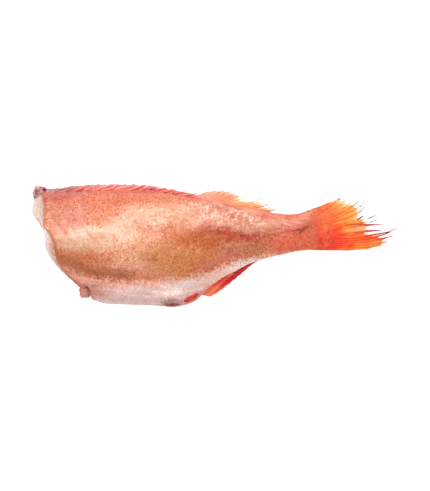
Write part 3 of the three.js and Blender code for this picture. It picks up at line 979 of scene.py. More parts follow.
def make_skin():
    angles = np.arange(SKIN_AROUND) * 2 * np.pi / SKIN_AROUND
    start = skin_start(angles)[None]
    along = np.linspace(0, 1, SKIN_ALONG)[:, None]
    skin = on_skin(lerp(start, end_x(angles)[None], along), angles[None])
    back = np.linspace(1, 0, SKIN_INSIDE)[:, None]
    pocket = on_skin(lerp(start + 0.3, SKIN_POCKET_END, back), angles[None], SKIN_SINK + SKIN_DEPTH)
    rim = lerp(pocket[-1], skin[0], 0.5) + np.array([-0.12, 0, 0])
    rings = np.concatenate([pocket, rim[None], skin])
    rings[..., 2] = np.maximum(rings[..., 2], 0)
    points, groups = closed_tube(rings)
    near_cut = np.ones(len(points))
    near_cut[(SKIN_INSIDE + 1) * SKIN_AROUND:-2] = np.exp(-(skin[..., 0] - start) / CUT_RIM).ravel()
    near_cut[-2:] = 0
    return make_piece("skin", points, groups, [skin_material], {"near_cut": near_cut})


skin = make_skin()
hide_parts("fish")

# %% [markdown]
# ## Scales
#
# A redfish has small rough scales in slanting rows, each overlapping the next like roof tiles, with
# its free edge towards the tail. They could be a bump, but then they would be flat in profile and in
# every other program. Thousands of equal shapes on a surface are what Geometry Nodes are for: the
# seats are points worked out on the body, and a tree puts one small closed scale on each, turned to
# the surface, a little unevenly. The seats lie on a grid that is measured over the skin, so the
# scales keep their size where the body is deep and shrink only towards the tail.

# %% One scale
SCALE_FREE_POINTS = 6  # on the round free edge; two more make the straight root


def make_scale_form():
    """A scale of length 1: a shallow shield whose free edge points along +X."""
    free = np.radians(np.linspace(-82, 82, SCALE_FREE_POINTS))
    outline = [(0.12 + 0.66 * math.cos(a), 0.6 * math.sin(a), 0.0) for a in free]
    outline += [(-0.52, 0.36, -0.06), (-0.52, -0.36, -0.06)]
    count = len(outline)
    points = [*outline, (0.2, 0.0, 0.08)]
    faces = [(count, i, (i + 1) % count) for i in range(count)]
    faces += [(0, i + 1, i) for i in range(1, count - 1)]
    mesh = new_mesh("scale_form", np.array(points) / MM, faces)
    rim = [max(edge.vertices) < count and abs(edge.vertices[0] - edge.vertices[1]) in (1, count - 1)
           for edge in mesh.edges]
    mesh.attributes.new("sharp_edge", "BOOLEAN", "EDGE").data.foreach_set("value", rim)
    store(mesh, "free_edge", [np.clip(0.3 + x, 0, 1) for x, _, _ in outline] + [0.45])
    store(mesh, "local", points)
    return placed("scale_form", mesh)


scale_form = make_scale_form()
print("one scale has", len(scale_form.data.polygons), "triangles")

# %% Seats for the scales
FIRST_SEAT_X = -131.0
SCALE_SIZE = [(FIRST_SEAT_X, 1.5), (-60, 1.6), (0, 1.5), (40, 1.35), (66, 1.2), (90, 1.15)]
MIDLINE = 0.55 * np.pi  # the angle that the rows are counted from
BARE_EDGE = 0.2  # no row is nearer to the middle of the belly or the back than this, in mm
scale_size = through(SCALE_SIZE)


def half_columns():
    """Places along the fish, half a scale apart."""
    places = [FIRST_SEAT_X]
    while places[-1] < BODY_END:
        places.append(places[-1] + 0.5 * float(scale_size(places[-1])))
    return np.array(places)


def scale_seats(side):
    """Seats on the upper (1) or the lower (-1) side: x, angle, size and place over the midline."""
    fine = np.linspace(0.03, np.pi - 0.03, 500)
    angles = fine if side > 0 else 2 * np.pi - fine
    found = []
    for k, x in enumerate(half_columns()):
        section = body_point(np.full_like(angles, x), angles)
        run = np.concatenate([[0], np.cumsum(np.linalg.norm(np.diff(section, axis=0), axis=1))])
        size = float(scale_size(x))
        offset = np.interp(MIDLINE, fine, run)
        low = math.ceil(-offset / size)
        high = math.floor((run[-1] - offset) / size)
        rows = (np.arange(low, high + 1) + 0.5 * (k % 2)) * size + offset
        rows = rows[(rows > BARE_EDGE) & (rows < run[-1] - BARE_EDGE)]
        rows = rows + random.uniform(-0.1, 0.1, len(rows)) * size
        places = np.full_like(rows, x) + random.uniform(-0.09, 0.09, len(rows)) * size
        seat_angles = np.interp(rows, run, angles)
        found.append(np.stack([places, seat_angles, np.full_like(rows, size), rows - offset], axis=1))
    seats = np.concatenate(found)
    starts = skin_start(seats[:, 1])
    inside = (seats[:, 0] > starts + 0.9) & (seats[:, 0] < end_x(seats[:, 1]) - 0.6)
    ragged = ripple(seats[:, 0] * 0.3, seats[:, 3], 4.5, 62) * 4
    lost = random.uniform(0, 1, len(seats)) < step(64, 76, seats[:, 0] + ragged)  # thinning to the tail
    return seats[inside & ~lost]


upper_seats = scale_seats(1)
lower_seats = scale_seats(-1)
print(len(upper_seats), "scales above,", len(lower_seats), "below")

# %% Growing pieces with a tree


def new_tree(name, wanted):
    """A Geometry Nodes tree with named inputs: its bench, and the outputs of its input node."""
    tree = bpy.data.node_groups.new(name, "GeometryNodeTree")
    bench = Bench(tree)
    tree.interface.new_socket(name="Geometry", in_out="OUTPUT", socket_type="NodeSocketGeometry")
    for key, kind in {"Geometry": "Geometry", **wanted}.items():
        tree.interface.new_socket(name=key, in_out="INPUT", socket_type="NodeSocket" + kind)
    return bench, bench.node("NodeGroupInput").outputs


def end_tree(bench, geometry, material):
    """The last nodes of a tree: the geometry made real, with its material."""
    real = bench.node("GeometryNodeRealizeInstances", values={"Geometry": geometry}).outputs[0]
    dressed = bench.node("GeometryNodeSetMaterial", values={"Geometry": real, "Material": material})
    bench.node("NodeGroupOutput", values={0: dressed.outputs[0]})
    return bench.tree


def named(bench, name, kind):
    """A stored attribute of the points."""
    reader = bench.node("GeometryNodeInputNamedAttribute", {"data_type": kind}, {"Name": name})
    return reader.outputs["Attribute"]


def grown(name, points, stored, tree, inputs, edges=()):
    """Runs a tree on points with stored values, and returns its result as an object with a plain mesh."""
    mesh = new_mesh(name, points, [], edges)
    for key, values in stored.items():
        store(mesh, key, values)
    piece = placed(name, mesh)
    modifier = piece.modifiers.new("grow", "NODES")
    modifier.node_group = tree
    sockets = {item.name: item.identifier for item in tree.interface.items_tree if item.in_out == "INPUT"}
    for key, value in inputs.items():
        modifier[sockets[key]] = value
    scene_graph = bpy.context.evaluated_depsgraph_get()
    result = bpy.data.meshes.new_from_object(piece.evaluated_get(scene_graph), depsgraph=scene_graph)
    piece.modifiers.remove(modifier)
    piece.data = result
    result.name = name
    bpy.data.meshes.remove(mesh)
    result.shade_smooth()
    return piece


print("node groups so far:", len(bpy.data.node_groups))

# %% The tree that seats the scales


def random_number(bench, low, high, seed):
    values = {2: low, 3: high, "Seed": seed}
    return bench.node("FunctionNodeRandomValue", {"data_type": "FLOAT"}, values).outputs[1]


def make_seating_tree():
    bench, given = new_tree("seat_scales", {
        "Form": "Object", "Tilt": "Float", "Unevenness": "Float", "Seed": "Int", "Material": "Material",
    })
    form = bench.node("GeometryNodeObjectInfo", values={"Object": given["Form"]}).outputs["Geometry"]
    facing = {"primary_axis": "Z", "secondary_axis": "X"}
    axes = {"Primary Axis": named(bench, "normal_out", "FLOAT_VECTOR"),
            "Secondary Axis": named(bench, "to_tail", "FLOAT_VECTOR")}
    turn = bench.node("FunctionNodeAxesToRotation", facing, axes).outputs[0]
    spread = Wire(bench, random_number(bench, -1.0, 1.0, given["Seed"]))
    tilt = Wire(bench, given["Tilt"]) + spread * Wire(bench, given["Unevenness"])
    lift = bench.node("FunctionNodeAxisAngleToRotation", values={"Axis": (0, -1, 0), "Angle": tilt})
    lifted = {"Rotation": turn, "Rotate By": lift.outputs[0]}
    seats = bench.node("GeometryNodeMeshToPoints", values={"Mesh": given["Geometry"]})
    scales = bench.node("GeometryNodeInstanceOnPoints", values={
        "Points": seats.outputs[0], "Instance": form, "Scale": named(bench, "size", "FLOAT"),
        "Rotation": bench.node("FunctionNodeRotateRotation", {"rotation_space": "LOCAL"}, lifted).outputs[0],
    })
    tint = {"Name": "tint", "Value": random_number(bench, 0.0, 1.0, given["Seed"])}
    tinted = bench.node(
        "GeometryNodeStoreNamedAttribute", {"data_type": "FLOAT", "domain": "INSTANCE"},
        {"Geometry": scales.outputs[0], **tint},
    )
    return end_tree(bench, tinted.outputs[0], given["Material"])


seating_tree = make_seating_tree()
print("seating tree:", len(seating_tree.nodes), "nodes")

# %% Seat the scales
SCALE_TILT = 0.12  # how far the free edge is lifted, in radians
SCALE_UNEVENNESS = 0.08
SCALE_TURN = 0.1
SCALE_STANDS = 0.16  # over the skin, in mm
SCALE_SUNK = -0.06  # where the belly and the tail's root are nearly bare
MAP_SHARE = 0.42  # of its cell that a scale fills on the map


def places_of(mesh, name):
    """The first two numbers of a vector that the mesh stores."""
    numbers = np.zeros(len(mesh.vertices) * 3, np.float32)
    mesh.attributes[name].data.foreach_get("vector", numbers)
    return numbers.reshape(-1, 3)[:, :2]


def bake_map(mesh):
    """A map on which every scale has its own place: its seat on the unrolled skin."""
    cell = float(scale_size(-60))
    place = places_of(mesh, "unrolled") + places_of(mesh, "local") * MAP_SHARE * cell
    low, high = place.min(axis=0), place.max(axis=0)
    place = (place - low) / (high - low).max() * 0.98 + 0.01
    corners = np.zeros(len(mesh.loops), np.int32)
    mesh.loops.foreach_get("vertex_index", corners)
    mesh.uv_layers.new(name="OFBake").data.foreach_set("uv", place[corners].astype(np.float32).ravel())


def make_scales(name, seats, seed):
    x, angle, size, over = seats.T
    point, normal, ahead = skin_frame(x, angle)
    v = (1 - np.cos(angle)) / 2
    bare = (1 - step(0.12, 0.24, v)) * (1 - step(0, 30, x))
    stands = lerp(SCALE_STANDS, SCALE_SUNK, np.maximum(bare, step(62, 76, x)))
    turned = random.normal(0, SCALE_TURN, len(x))[:, None]
    stored = {
        "normal_out": normal, "to_tail": unit(ahead + np.cross(normal, ahead) * turned),
        "size": size * random.uniform(0.94, 1.06, len(x)) * MM,
        "unrolled": flat_vectors(x, over), "near_cut": np.exp(-(x - skin_start(angle)) / CUT_RIM),
    }
    inputs = {
        "Form": scale_form, "Tilt": SCALE_TILT, "Unevenness": SCALE_UNEVENNESS, "Seed": seed,
        "Material": scale_material,
    }
    piece = grown(name, point + normal * stands[:, None], stored, seating_tree, inputs)
    bake_map(piece.data)
    return finish_piece(piece)


make_scales("scales_upper", upper_seats, 11)
make_scales("scales_lower", lower_seats, 12)

# %% [markdown]
# ## Cut flesh and gut cavity
#
# Behind the skin's edge the raw flesh swells out of the cut in two lobes: the back muscle and the
# belly wall. It is pale and glassy, a little pink at its edges, and fine paler sheets run through it
# in nested bends. Below the backbone is the mouth of the gut cavity, lined with a thin dark
# membrane. The flesh is one closed block: the cavity's wall, the cut, and a hidden back face.

# %% Flesh and lining materials
SHEET_SPACING = 3.4  # between the pale sheets of the muscle, in mm
BENDS_Z = 19.0  # height of the middle of their bends
UPPER_BENDS_Y = 24.0
LOWER_BENDS_Y = -4.0


def nested_bends(field):
    """How far a place is from the middle of the sheets' bends, of the upper or of the lower ones."""
    y = field.true_y
    z = field.z - BENDS_Z
    up, down = y - UPPER_BENDS_Y, y - LOWER_BENDS_Y
    upper = (up * up + z * z * 0.76).math("SQRT")
    lower = (down * down * 0.64 + z * z * 1.23).math("SQRT")
    return upper + (lower - upper) * y.smooth(10, 6)


def make_flesh_material():
    material, bench = new_material("raw_flesh")
    field = Field(bench, 0.8)
    height = field.y
    layers = field.texture(260, 3, 0.55, (0.8, 0.4, 0.8))
    fibre = field.texture(1500, 2, 0.6, (1.6, 1, 1))
    glassy = field.texture(95, 2, 0.5)
    phase = nested_bends(field) * (2 * math.pi / SHEET_SPACING) + (glassy - 0.5) * 7
    sheets = phase.math("COSINE").smooth(0.6, 0.98)
    outer = (field.x + (height - 26) * 0.1).smooth(-123.5, -130)
    colour = bench.mix(height.smooth(14, 4), tone(180, 128, 112), tone(206, 156, 138))
    colour = bench.mix(outer * height.smooth(8, 16), colour, tone(180, 148, 130))
    low_outer = field.x.smooth(-117.5, -122) * height.smooth(10, 2)
    colour = bench.mix(low_outer * 0.8, colour, tone(216, 184, 172))
    colour = bench.mix(layers.smooth(0.44, 0.6) * 0.35, colour, tone(216, 186, 164))
    colour = bench.mix(layers.smooth(0.5, 0.36) * 0.35, colour, tone(182, 110, 94))
    colour = bench.mix(glassy.smooth(0.5, 0.66) * 0.35, colour, tone(196, 174, 140))
    colour = bench.mix(sheets * 0.4, colour, tone(232, 206, 188))
    colour = bench.mix(glassy.smooth(0.48, 0.34) * height.smooth(12, 4) * 0.6, colour, tone(188, 150, 150))
    blood = field.texture(330, 3).smooth(0.58, 0.7)
    colour = bench.mix(blood * 0.4, colour, tone(190, 90, 76))
    colour = bench.mix(height.smooth(33, 40) * 0.8, colour, tone(150, 70, 64))
    surface_shader(bench, {
        "Base Color": colour, "Roughness": 0.3 + fibre * 0.15, "Specular IOR Level": 0.3,
        "Coat Weight": 0.3, "Coat Roughness": 0.1,
        "Subsurface Weight": 0.4, "Subsurface Radius": (1.0, 0.5, 0.3), "Subsurface Scale": 0.004,
        "Normal": bumps(bench, layers * 0.7 + fibre * 0.3, 0.3),
    })
    return material


def make_lining_material():
    material, bench = new_material("cavity_lining")
    field = Field(bench, 1.0)
    film = field.texture(210, 4)
    veins = field.texture(520, 3, 0.6, (2.8, 1, 1))
    colour = bench.mix(film.smooth(0.35, 0.65), tone(92, 58, 52), tone(176, 122, 108))
    colour = bench.mix(veins.smooth(0.58, 0.7) * 0.6, colour, tone(128, 28, 24))
    surface_shader(bench, {
        "Base Color": colour, "Roughness": 0.24 + film * 0.2, "Coat Weight": 0.5, "Coat Roughness": 0.1,
        "Normal": bumps(bench, veins, 0.3),
    })
    return material


flesh_material = make_flesh_material()
lining_material = make_lining_material()
print("flesh and lining materials ready")

# %% Flesh block
FLESH_AROUND = 160
FLESH_ACROSS = 26
CAVITY_DEEP = 34  # rings of the cavity's wall
LIP_RINGS = 5  # of them, next to the mouth, are flesh and not lining
UNDER_SKIN = 1.1  # how far its hidden side lies under the solid's surface
FLESH_END = -46.0
HIDDEN_RINGS = (  # shares of the way to its end
    0.02, 0.04, 0.08, 0.14, 0.22, 0.3, 0.38, 0.46, 0.54, 0.62, 0.7, 0.78, 0.86, 0.93, 1,
)


def flesh_out(y):
    """How far the flesh swells out of the cut."""
    return sum(out * np.exp(-(((y - centre) / spread) ** 2)) for centre, spread, out in FLESH_LOBES)


def cavity_point(angle, inward):
    """A point of the cavity's wall, at a share of the way from its mouth to its end."""
    v = (1 - np.cos(angle)) / 2
    mouth_y = lerp(CAVITY_BOTTOM, CAVITY_TOP, v)
    y = lerp(mouth_y, lerp(CAVITY_END_BOTTOM, CAVITY_END_TOP, v), inward)
    x = lerp(cut_x(y, body_middle(CAVITY_END_X, y)), CAVITY_END_X, inward)
    ribs = 1 + 0.05 * np.sin(x * 2 * np.pi / 5.2 + v * 5)
    width = cavity_half_width(v) * np.sin(angle) * lerp(1, CAVITY_NARROWING, inward**2) * ribs
    return np.stack([x, y, body_middle(x, y) + width], axis=-1)


def muscle_sheets(y, z):
    """Nested bends of the muscle's sheets, as a height from -1 to 1."""
    upper = np.hypot(y - UPPER_BENDS_Y, (z - BENDS_Z) / 1.15)
    lower = np.hypot((y - LOWER_BENDS_Y) / 1.25, (z - BENDS_Z) / 0.9)
    nested = np.where(y > 8, upper, lower)
    return np.sin(nested * 2 * np.pi / SHEET_SPACING + ripple(y, z, 9, 21) * 0.9)


def cut_ring(mouth, inner, share):
    """A ring of the cut face, at a share of the way from the cavity's mouth to the skin."""
    ring = lerp(mouth, inner, share)
    y, z = ring[:, 1], ring[:, 2]
    swell = flesh_out(y) * np.sqrt(np.sin(np.pi * min(share, 0.985)))
    swell = swell * (1 + 0.8 * step(18, 28, z) * step(12, 4, y))
    sheets = 0.09 * muscle_sheets(y, z) * math.sin(math.pi * share) * step(6, 14, y)
    ring[:, 0] = cut_x(y, z) - swell - sheets
    return ring


def make_flesh():
    angles = np.arange(FLESH_AROUND) * 2 * np.pi / FLESH_AROUND
    edge = cut_edge(angles)[:, 0]
    inner = on_skin(edge, angles, sink=UNDER_SKIN)
    mouth = cavity_point(angles, 0.0)
    walls = [cavity_point(angles, inward) for inward in np.linspace(1, 0, CAVITY_DEEP)]
    face = [cut_ring(mouth, inner, share) for share in np.linspace(0, 1, FLESH_ACROSS + 1)[1:]]
    hidden = [on_skin(lerp(edge, FLESH_END, share), angles, UNDER_SKIN + 0.2) for share in HIDDEN_RINGS]
    rings = np.stack([*walls, *face, *hidden])
    rings[..., 2] = np.maximum(rings[..., 2], 0.05)
    points, groups = closed_tube(rings)
    quads, cavity_end, _ = groups
    lined = np.zeros(sum(len(group) for group in groups), np.int32)
    lined[:(CAVITY_DEEP - 1 - LIP_RINGS) * FLESH_AROUND] = 1
    lined[len(quads):len(quads) + len(cavity_end)] = 1
    materials = [flesh_material, lining_material]
    return make_piece("cut_flesh", points, groups, materials, material_of=lined)


make_flesh()

# %% [markdown]
# ## Fins
#
# A fin is a thin skin held open by rays. Its surface follows from a short list of rays, each with a
# root and a tip: any place on it is found between two neighbouring rays. The skin of a limp fin hangs
# in shallow pleats between them, and its outer edge is torn back. The rays are rods that split into
# finer threads towards the frayed edge. They follow paths, so a second tree makes them from lines.
#
# A fin grows out of the body without a seam. Near its root it has the colours of the skin, and the base
# of the soft fin is as thick as the body there and rises out of it in a smooth hollow.

# %% Rays of the fins, in millimetres: root x, root y, tip x, tip y
TAIL_RAYS = [
    (64, -2.6, 97, -3.6), (66, -1.8, 111, -2.6), (68, -0.6, 121.6, 0.2), (69, 0.9, 124, 2.6),
    (70, 2.6, 129.6, 7.2), (70, 4.2, 131, 10.8), (70, 5.8, 127, 10.4), (70, 7.4, 120.4, 11.2),
    (70, 8.8, 121.4, 14.8), (71, 9.8, 117.6, 17), (72, 10.8, 116.6, 20.4), (72, 11.8, 107.4, 19.4),
    (73, 12.8, 109.6, 26.4), (73, 14, 109.6, 30.4), (73, 15.4, 106, 32.4), (73, 16.8, 99.6, 31.4),
    (72, 18.2, 95.6, 33.6), (70, 19.6, 91.2, 35.2), (66, 24, 84, 31.9),
]
SOFT_FIN_RAYS = [
    (28, 22.2, 45.6, 25.2), (25.4, 23.2, 46.4, 26.4), (22.6, 24, 41, 27.8), (20, 24.8, 38.6, 29.2),
    (17.4, 25.8, 41, 30.4), (14.4, 26.8, 40, 31.8), (11.4, 27.8, 38.6, 33.2), (8.4, 28.6, 34.6, 33.6),
    (5, 29.6, 21, 34.4), (1.8, 30.4, 18, 36.2), (-1.4, 31, 15.2, 38), (-5.2, 31.8, 10.6, 39.4),
    (-9, 32.6, 7, 40), (-12.8, 33.2, 1, 39.6), (-16.4, 34, -4.6, 39),
]
ANAL_FIN_RAYS = [
    (-13.5, -33.4, -3.0, -36.6), (-12, -31.6, 1.6, -34.2), (-10, -29.8, 6.4, -30.8),
    (-7.5, -27.8, 10.8, -27.4), (-4.5, -25.6, 15, -23.8), (-1, -23.2, 18.8, -20.6),
    (3, -20.8, 22.4, -17.4), (7, -18.4, 25.8, -14.6), (11, -16.4, 28.8, -12.4), (15, -14.4, 31.6, -10.6),
]


class Fin:
    """A fin's surface: across counts the rays from 0, and out runs from 0 at the root to 1 at the tip."""

    def __init__(self, rays, root_z, tip_z, bow, pleat, sinks=0.8):
        """bow is how far each ray bends aside, as a share of its length; pleat is half a pleat's height."""
        self.rays = np.array(rays, float)
        self.sinks = sinks
        self.root_z = root_z
        self.tip_z = tip_z
        self.bow = bow
        self.pleat = pleat

    def at(self, across, out):
        count = len(self.rays)
        across, out = np.broadcast_arrays(np.asarray(across, float), np.asarray(out, float))
        i = np.clip(across.astype(int), 0, count - 2)
        share = (across - i)[..., None]
        ray = lerp(self.rays[i], self.rays[i + 1], share)
        root, tip = ray[..., :2], ray[..., 2:]
        bent = np.interp(across, np.arange(count), self.bow) * np.sin(np.pi * np.clip(out, 0, 1))
        aside = np.stack([root[..., 1] - tip[..., 1], tip[..., 0] - root[..., 0]], axis=-1)
        flat = lerp(root, tip, out[..., None]) - aside * bent[..., None]
        fold = self.pleat * np.cos(2 * np.pi * across) * np.sin(np.pi * np.clip(out, 0, 1) ** 2)
        z = lerp(self.root_z(root[..., 0]), self.tip_z, np.clip(out, 0, 2) ** self.sinks) + fold
        return np.stack([flat[..., 0], flat[..., 1], z], axis=-1)


TAIL_BOW = [0, 0.01, 0.02, 0.03, 0.045, 0.06, 0.045, 0.005, -0.045, -0.035, -0.02, -0.01, *[0] * 7]


def belly_height(x):
    """Height of the body's middle plane along the belly."""
    return middle_at(x, 0)


def even_bow(rays, most):
    """A bend that is largest in the middle of the fin and none at its ends."""
    return most * np.sin(np.linspace(0, np.pi, len(rays)))


tail_fin = Fin(TAIL_RAYS, middle_height, 1.6, TAIL_BOW, 0.4, sinks=1.25)
soft_fin = Fin(SOFT_FIN_RAYS, middle_height, 5.0, even_bow(SOFT_FIN_RAYS, 0.04), 0.3)
anal_fin = Fin(ANAL_FIN_RAYS, belly_height, 3.4, even_bow(ANAL_FIN_RAYS, -0.06), 0.45)
print("rays:", len(TAIL_RAYS), len(SOFT_FIN_RAYS), len(ANAL_FIN_RAYS))

# %% Materials of fins


def fin_places(bench):
    """Where a place is on its fin: rays counted across it, its reach from root (0) to tip (1), streaks."""
    place = bench.stored("fin_place", "Vector")
    across, reach, _ = bench.parts(place)
    drawn_out = bench.node("ShaderNodeMapping", values={0: place, "Scale": (3.0, 1.2, 1.0)}).outputs[0]
    values = {"Vector": drawn_out, "Scale": 2.2, "Detail": 3.0, "Roughness": 0.65}
    return across, reach, bench.wire("ShaderNodeTexNoise", values=values)


def make_fin_material(name, colours, coat=0.15):
    """colours(bench, field, across, reach, streak) gives the colour and how opaque the fin is."""
    material, bench = new_material(name)
    field = Field(bench, 0.6)
    across, reach, streak = fin_places(bench)
    colour, opaque = colours(bench, field, across, reach, streak)
    surface_shader(bench, {
        "Base Color": colour, "Alpha": opaque, "Roughness": 0.32 + streak * 0.2, "Specular IOR Level": 0.25,
        "Coat Weight": coat, "Coat Roughness": 0.14, "Normal": bumps(bench, streak, 0.2),
    })
    return material


def from_skin(field, share, colour):
    """The fin's colour where share is 1, and the colour of the skin it grows from where it is 0."""
    return field.bench.mix(share, mottled_skin(field)[0], colour)


def fin_materials(name, skin_colours, rod_colours, coat=0.15, rods="rays"):
    """The material of a fin's skin and that of its rods."""
    pair = (
        make_fin_material(f"{name}_skin", skin_colours, coat),
        make_fin_material(f"{name}_{rods}", rod_colours, coat),
    )
    print(name, "has materials of", [len(material.node_tree.nodes) for material in pair], "nodes")
    return pair


print("materials so far:", len(bpy.data.materials))

# %% Colours of the tail fin
TAIL_GAP = 7.5  # the lobes part here, in rays counted from the lowest


def tail_gap(across, soft):
    """1 between the lobes of the tail."""
    return (abs(across - TAIL_GAP) / 0.5).smooth(soft, 0.5)


def tail_flush(bench, field, across, reach):
    """The colours of the tail: red below, orange to yellow above, with a cream gap between the lobes."""
    cloud = field.texture(110, 3)
    low = bench.mix((reach + (cloud - 0.5) * 0.5).smooth(0.3, 0.6), tone(238, 58, 20), tone(247, 97, 34))
    low = bench.mix(across.smooth(5.2, 2.6) * reach.smooth(0.4, 0.75), low, tone(250, 146, 62))
    low = bench.mix(cloud.smooth(0.54, 0.66) * 0.6, low, tone(249, 102, 42))
    low = bench.mix(cloud.smooth(0.46, 0.36) * 0.7, low, tone(226, 48, 16))
    high = bench.mix((reach + (cloud - 0.5) * 0.4).smooth(0.3, 0.6), tone(245, 92, 30), tone(249, 132, 44))
    high = bench.mix(reach.smooth(0.56, 0.82), high, tone(252, 184, 84))
    colour = bench.mix((across + (cloud - 0.5) * 5).smooth(7.6, 10.4), low, high)
    gap = tail_gap(across, 1.1) * reach.smooth(0.36, 0.52)
    return bench.mix(gap * 0.7, colour, tone(252, 186, 98))


def tail_grown(field):
    """0 where the skin's glow still covers the fin, and 1 further out, with a cloudy edge."""
    return (field.x + (field.texture(150, 4) - 0.5) * 20).smooth(77, 90)


def tail_colours(bench, field, across, reach, streak):
    upper = (across + (streak - 0.5) * 2).smooth(8.2, 10)
    colour = tail_flush(bench, field, across, reach)
    outer = reach.smooth(0.3, 0.5)
    light = bench.mix(upper, tone(250, 158, 76), tone(254, 216, 140))
    dark = bench.mix(upper, tone(226, 46, 18), tone(244, 118, 38))
    colour = bench.mix(streak.smooth(0.53, 0.64) * outer * 0.7, colour, light)
    colour = bench.mix(streak.smooth(0.48, 0.36) * outer * 0.7, colour, dark)
    on_ray = (across * (2 * math.pi)).math("COSINE").smooth(0.0, 0.7) * reach.smooth(0.68, 0.86)
    colour = bench.mix(on_ray * across.smooth(3.5, 4.2) * across.smooth(8.4, 8.1), colour, tone(168, 10, 34))
    faded = reach.smooth(0.62, 0.92) * upper * 0.75 + reach.smooth(0.6, 1.0) * 0.08
    gap = tail_gap(across, 1.0) * reach.smooth(0.45, 0.7) * 0.5
    return from_skin(field, tail_grown(field), colour), 1 - faded - gap


def tail_ray_colours(bench, field, across, reach, streak):
    upper = across.smooth(8.45, 8.7)
    line = bench.mix(upper, tone(222, 38, 20), tone(244, 130, 44))
    colour = bench.mix(reach.smooth(0.36, 0.6) * 0.5, tail_flush(bench, field, across, reach), line)
    colour = bench.mix(across.smooth(3.6, 2.4) * reach.smooth(0.5, 0.8), colour, tone(244, 134, 60))
    ochre = (abs(across - 8) / 0.5).smooth(1.2, 0.6) * reach.smooth(0.4, 0.5)
    colour = bench.mix(ochre * 0.9, colour, tone(176, 76, 6))
    crimson = reach.smooth(0.7, 0.86) * across.smooth(3.4, 4.4) * (1 - upper)
    colour = bench.mix(crimson, colour, tone(160, 6, 34))
    pale = across.smooth(14.4, 14.7) * across.smooth(16.7, 16.4)
    colour = bench.mix(reach.smooth(0.8, 0.86) * upper * (1 - pale), colour, tone(92, 68, 46))
    faded = reach.smooth(0.72, 0.78) * reach.smooth(0.86, 0.82) * upper + reach.smooth(0.7, 0.9) * pale * 0.7
    return from_skin(field, tail_grown(field), colour), 1 - faded * 0.8


tail_skin, tail_rays = fin_materials("tail_fin", tail_colours, tail_ray_colours)

# %% Colours of the soft fin


def soft_flush(bench, across, reach):
    """Peach in front, and pale yellow behind, with one orange ray at the very end."""
    front = bench.mix(reach.smooth(0.5, 1.0), tone(232, 138, 96), tone(244, 178, 130))
    behind = bench.mix(reach.smooth(0.15, 0.5), tone(234, 124, 78), tone(249, 198, 128))
    colour = bench.mix(across.smooth(9.4, 7.6), front, behind)
    return bench.mix(across.smooth(1.8, 0.9), colour, tone(234, 126, 60))


def soft_colours(bench, field, across, reach, streak):
    colour = soft_flush(bench, across, reach)
    orange = field.patch(24, 27, 16, 3.6, -0.25) * streak.smooth(0.42, 0.56)
    colour = bench.mix(orange * 0.9, colour, tone(232, 112, 56))
    colour = bench.mix(streak.smooth(0.54, 0.66) * 0.6, colour, tone(224, 112, 72))
    opaque = 1 - reach.smooth(0.42, 0.8) * (0.4 + across.smooth(9.4, 7.6) * 0.4)
    opaque = opaque - streak.smooth(0.5, 0.36) * reach.smooth(0.3, 0.6) * 0.4
    grown_out = (reach + (streak - 0.5) * 0.5).smooth(0.1, 0.45)
    return from_skin(field, grown_out, colour), opaque


def soft_ray_colours(bench, field, across, reach, streak):
    colour = bench.mix(reach.smooth(0.3, 0.7) * 0.5, soft_flush(bench, across, reach), tone(226, 128, 78))
    dark = reach.smooth(0.86, 0.95) * across.smooth(8.0, 7.0) * across.smooth(1.4, 2.2)
    colour = bench.mix(dark * 0.9, colour, tone(96, 76, 66))
    colour = bench.mix(across.smooth(1.6, 1.0) * reach.smooth(0.8, 0.95), colour, tone(150, 84, 30))
    faded = reach.smooth(0.6, 0.75) * reach.smooth(0.93, 0.86) * across.smooth(1.4, 2.2) * 0.6
    return from_skin(field, reach.smooth(0.15, 0.45), colour), 1 - faded


soft_skin, soft_rays = fin_materials("soft_fin", soft_colours, soft_ray_colours)

# %% Colours of the anal fin


def anal_colours(bench, field, across, reach, streak):
    lines = field.texture(380, 3, 0.6, (6.0, 1, 1), 0.66)
    colour = bench.mix(field.x.smooth(-3, 9), tone(246, 130, 86), tone(238, 92, 66))
    colour = bench.mix(lines.smooth(0.52, 0.6) * field.x.smooth(-6, 4) * 0.8, colour, tone(224, 36, 36))
    colour = bench.mix(lines.smooth(0.46, 0.38) * 0.8, colour, tone(250, 158, 126))
    heart = field.patch(15, -21.6, 12, 3.4, 0.78)
    colour = bench.mix(heart * lines.smooth(0.38, 0.54) * 0.85, colour, tone(184, 8, 24))
    return bench.mix(field.x.smooth(25, 32) * 0.9, colour, tone(96, 22, 28)), 1.0


def anal_ray_colours(bench, field, across, reach, streak):
    colour = bench.mix(field.x.smooth(-4, 8), tone(246, 120, 74), tone(228, 48, 40))
    colour = bench.mix(field.x.smooth(12, 22) * 0.6, colour, tone(184, 16, 30))
    return bench.mix(field.x.smooth(25, 32) * 0.9, colour, tone(96, 22, 28)), 1.0


anal_skin, anal_rays = fin_materials("anal_fin", anal_colours, anal_ray_colours, coat=0.25)

# %% Colours of the folded spiny fin


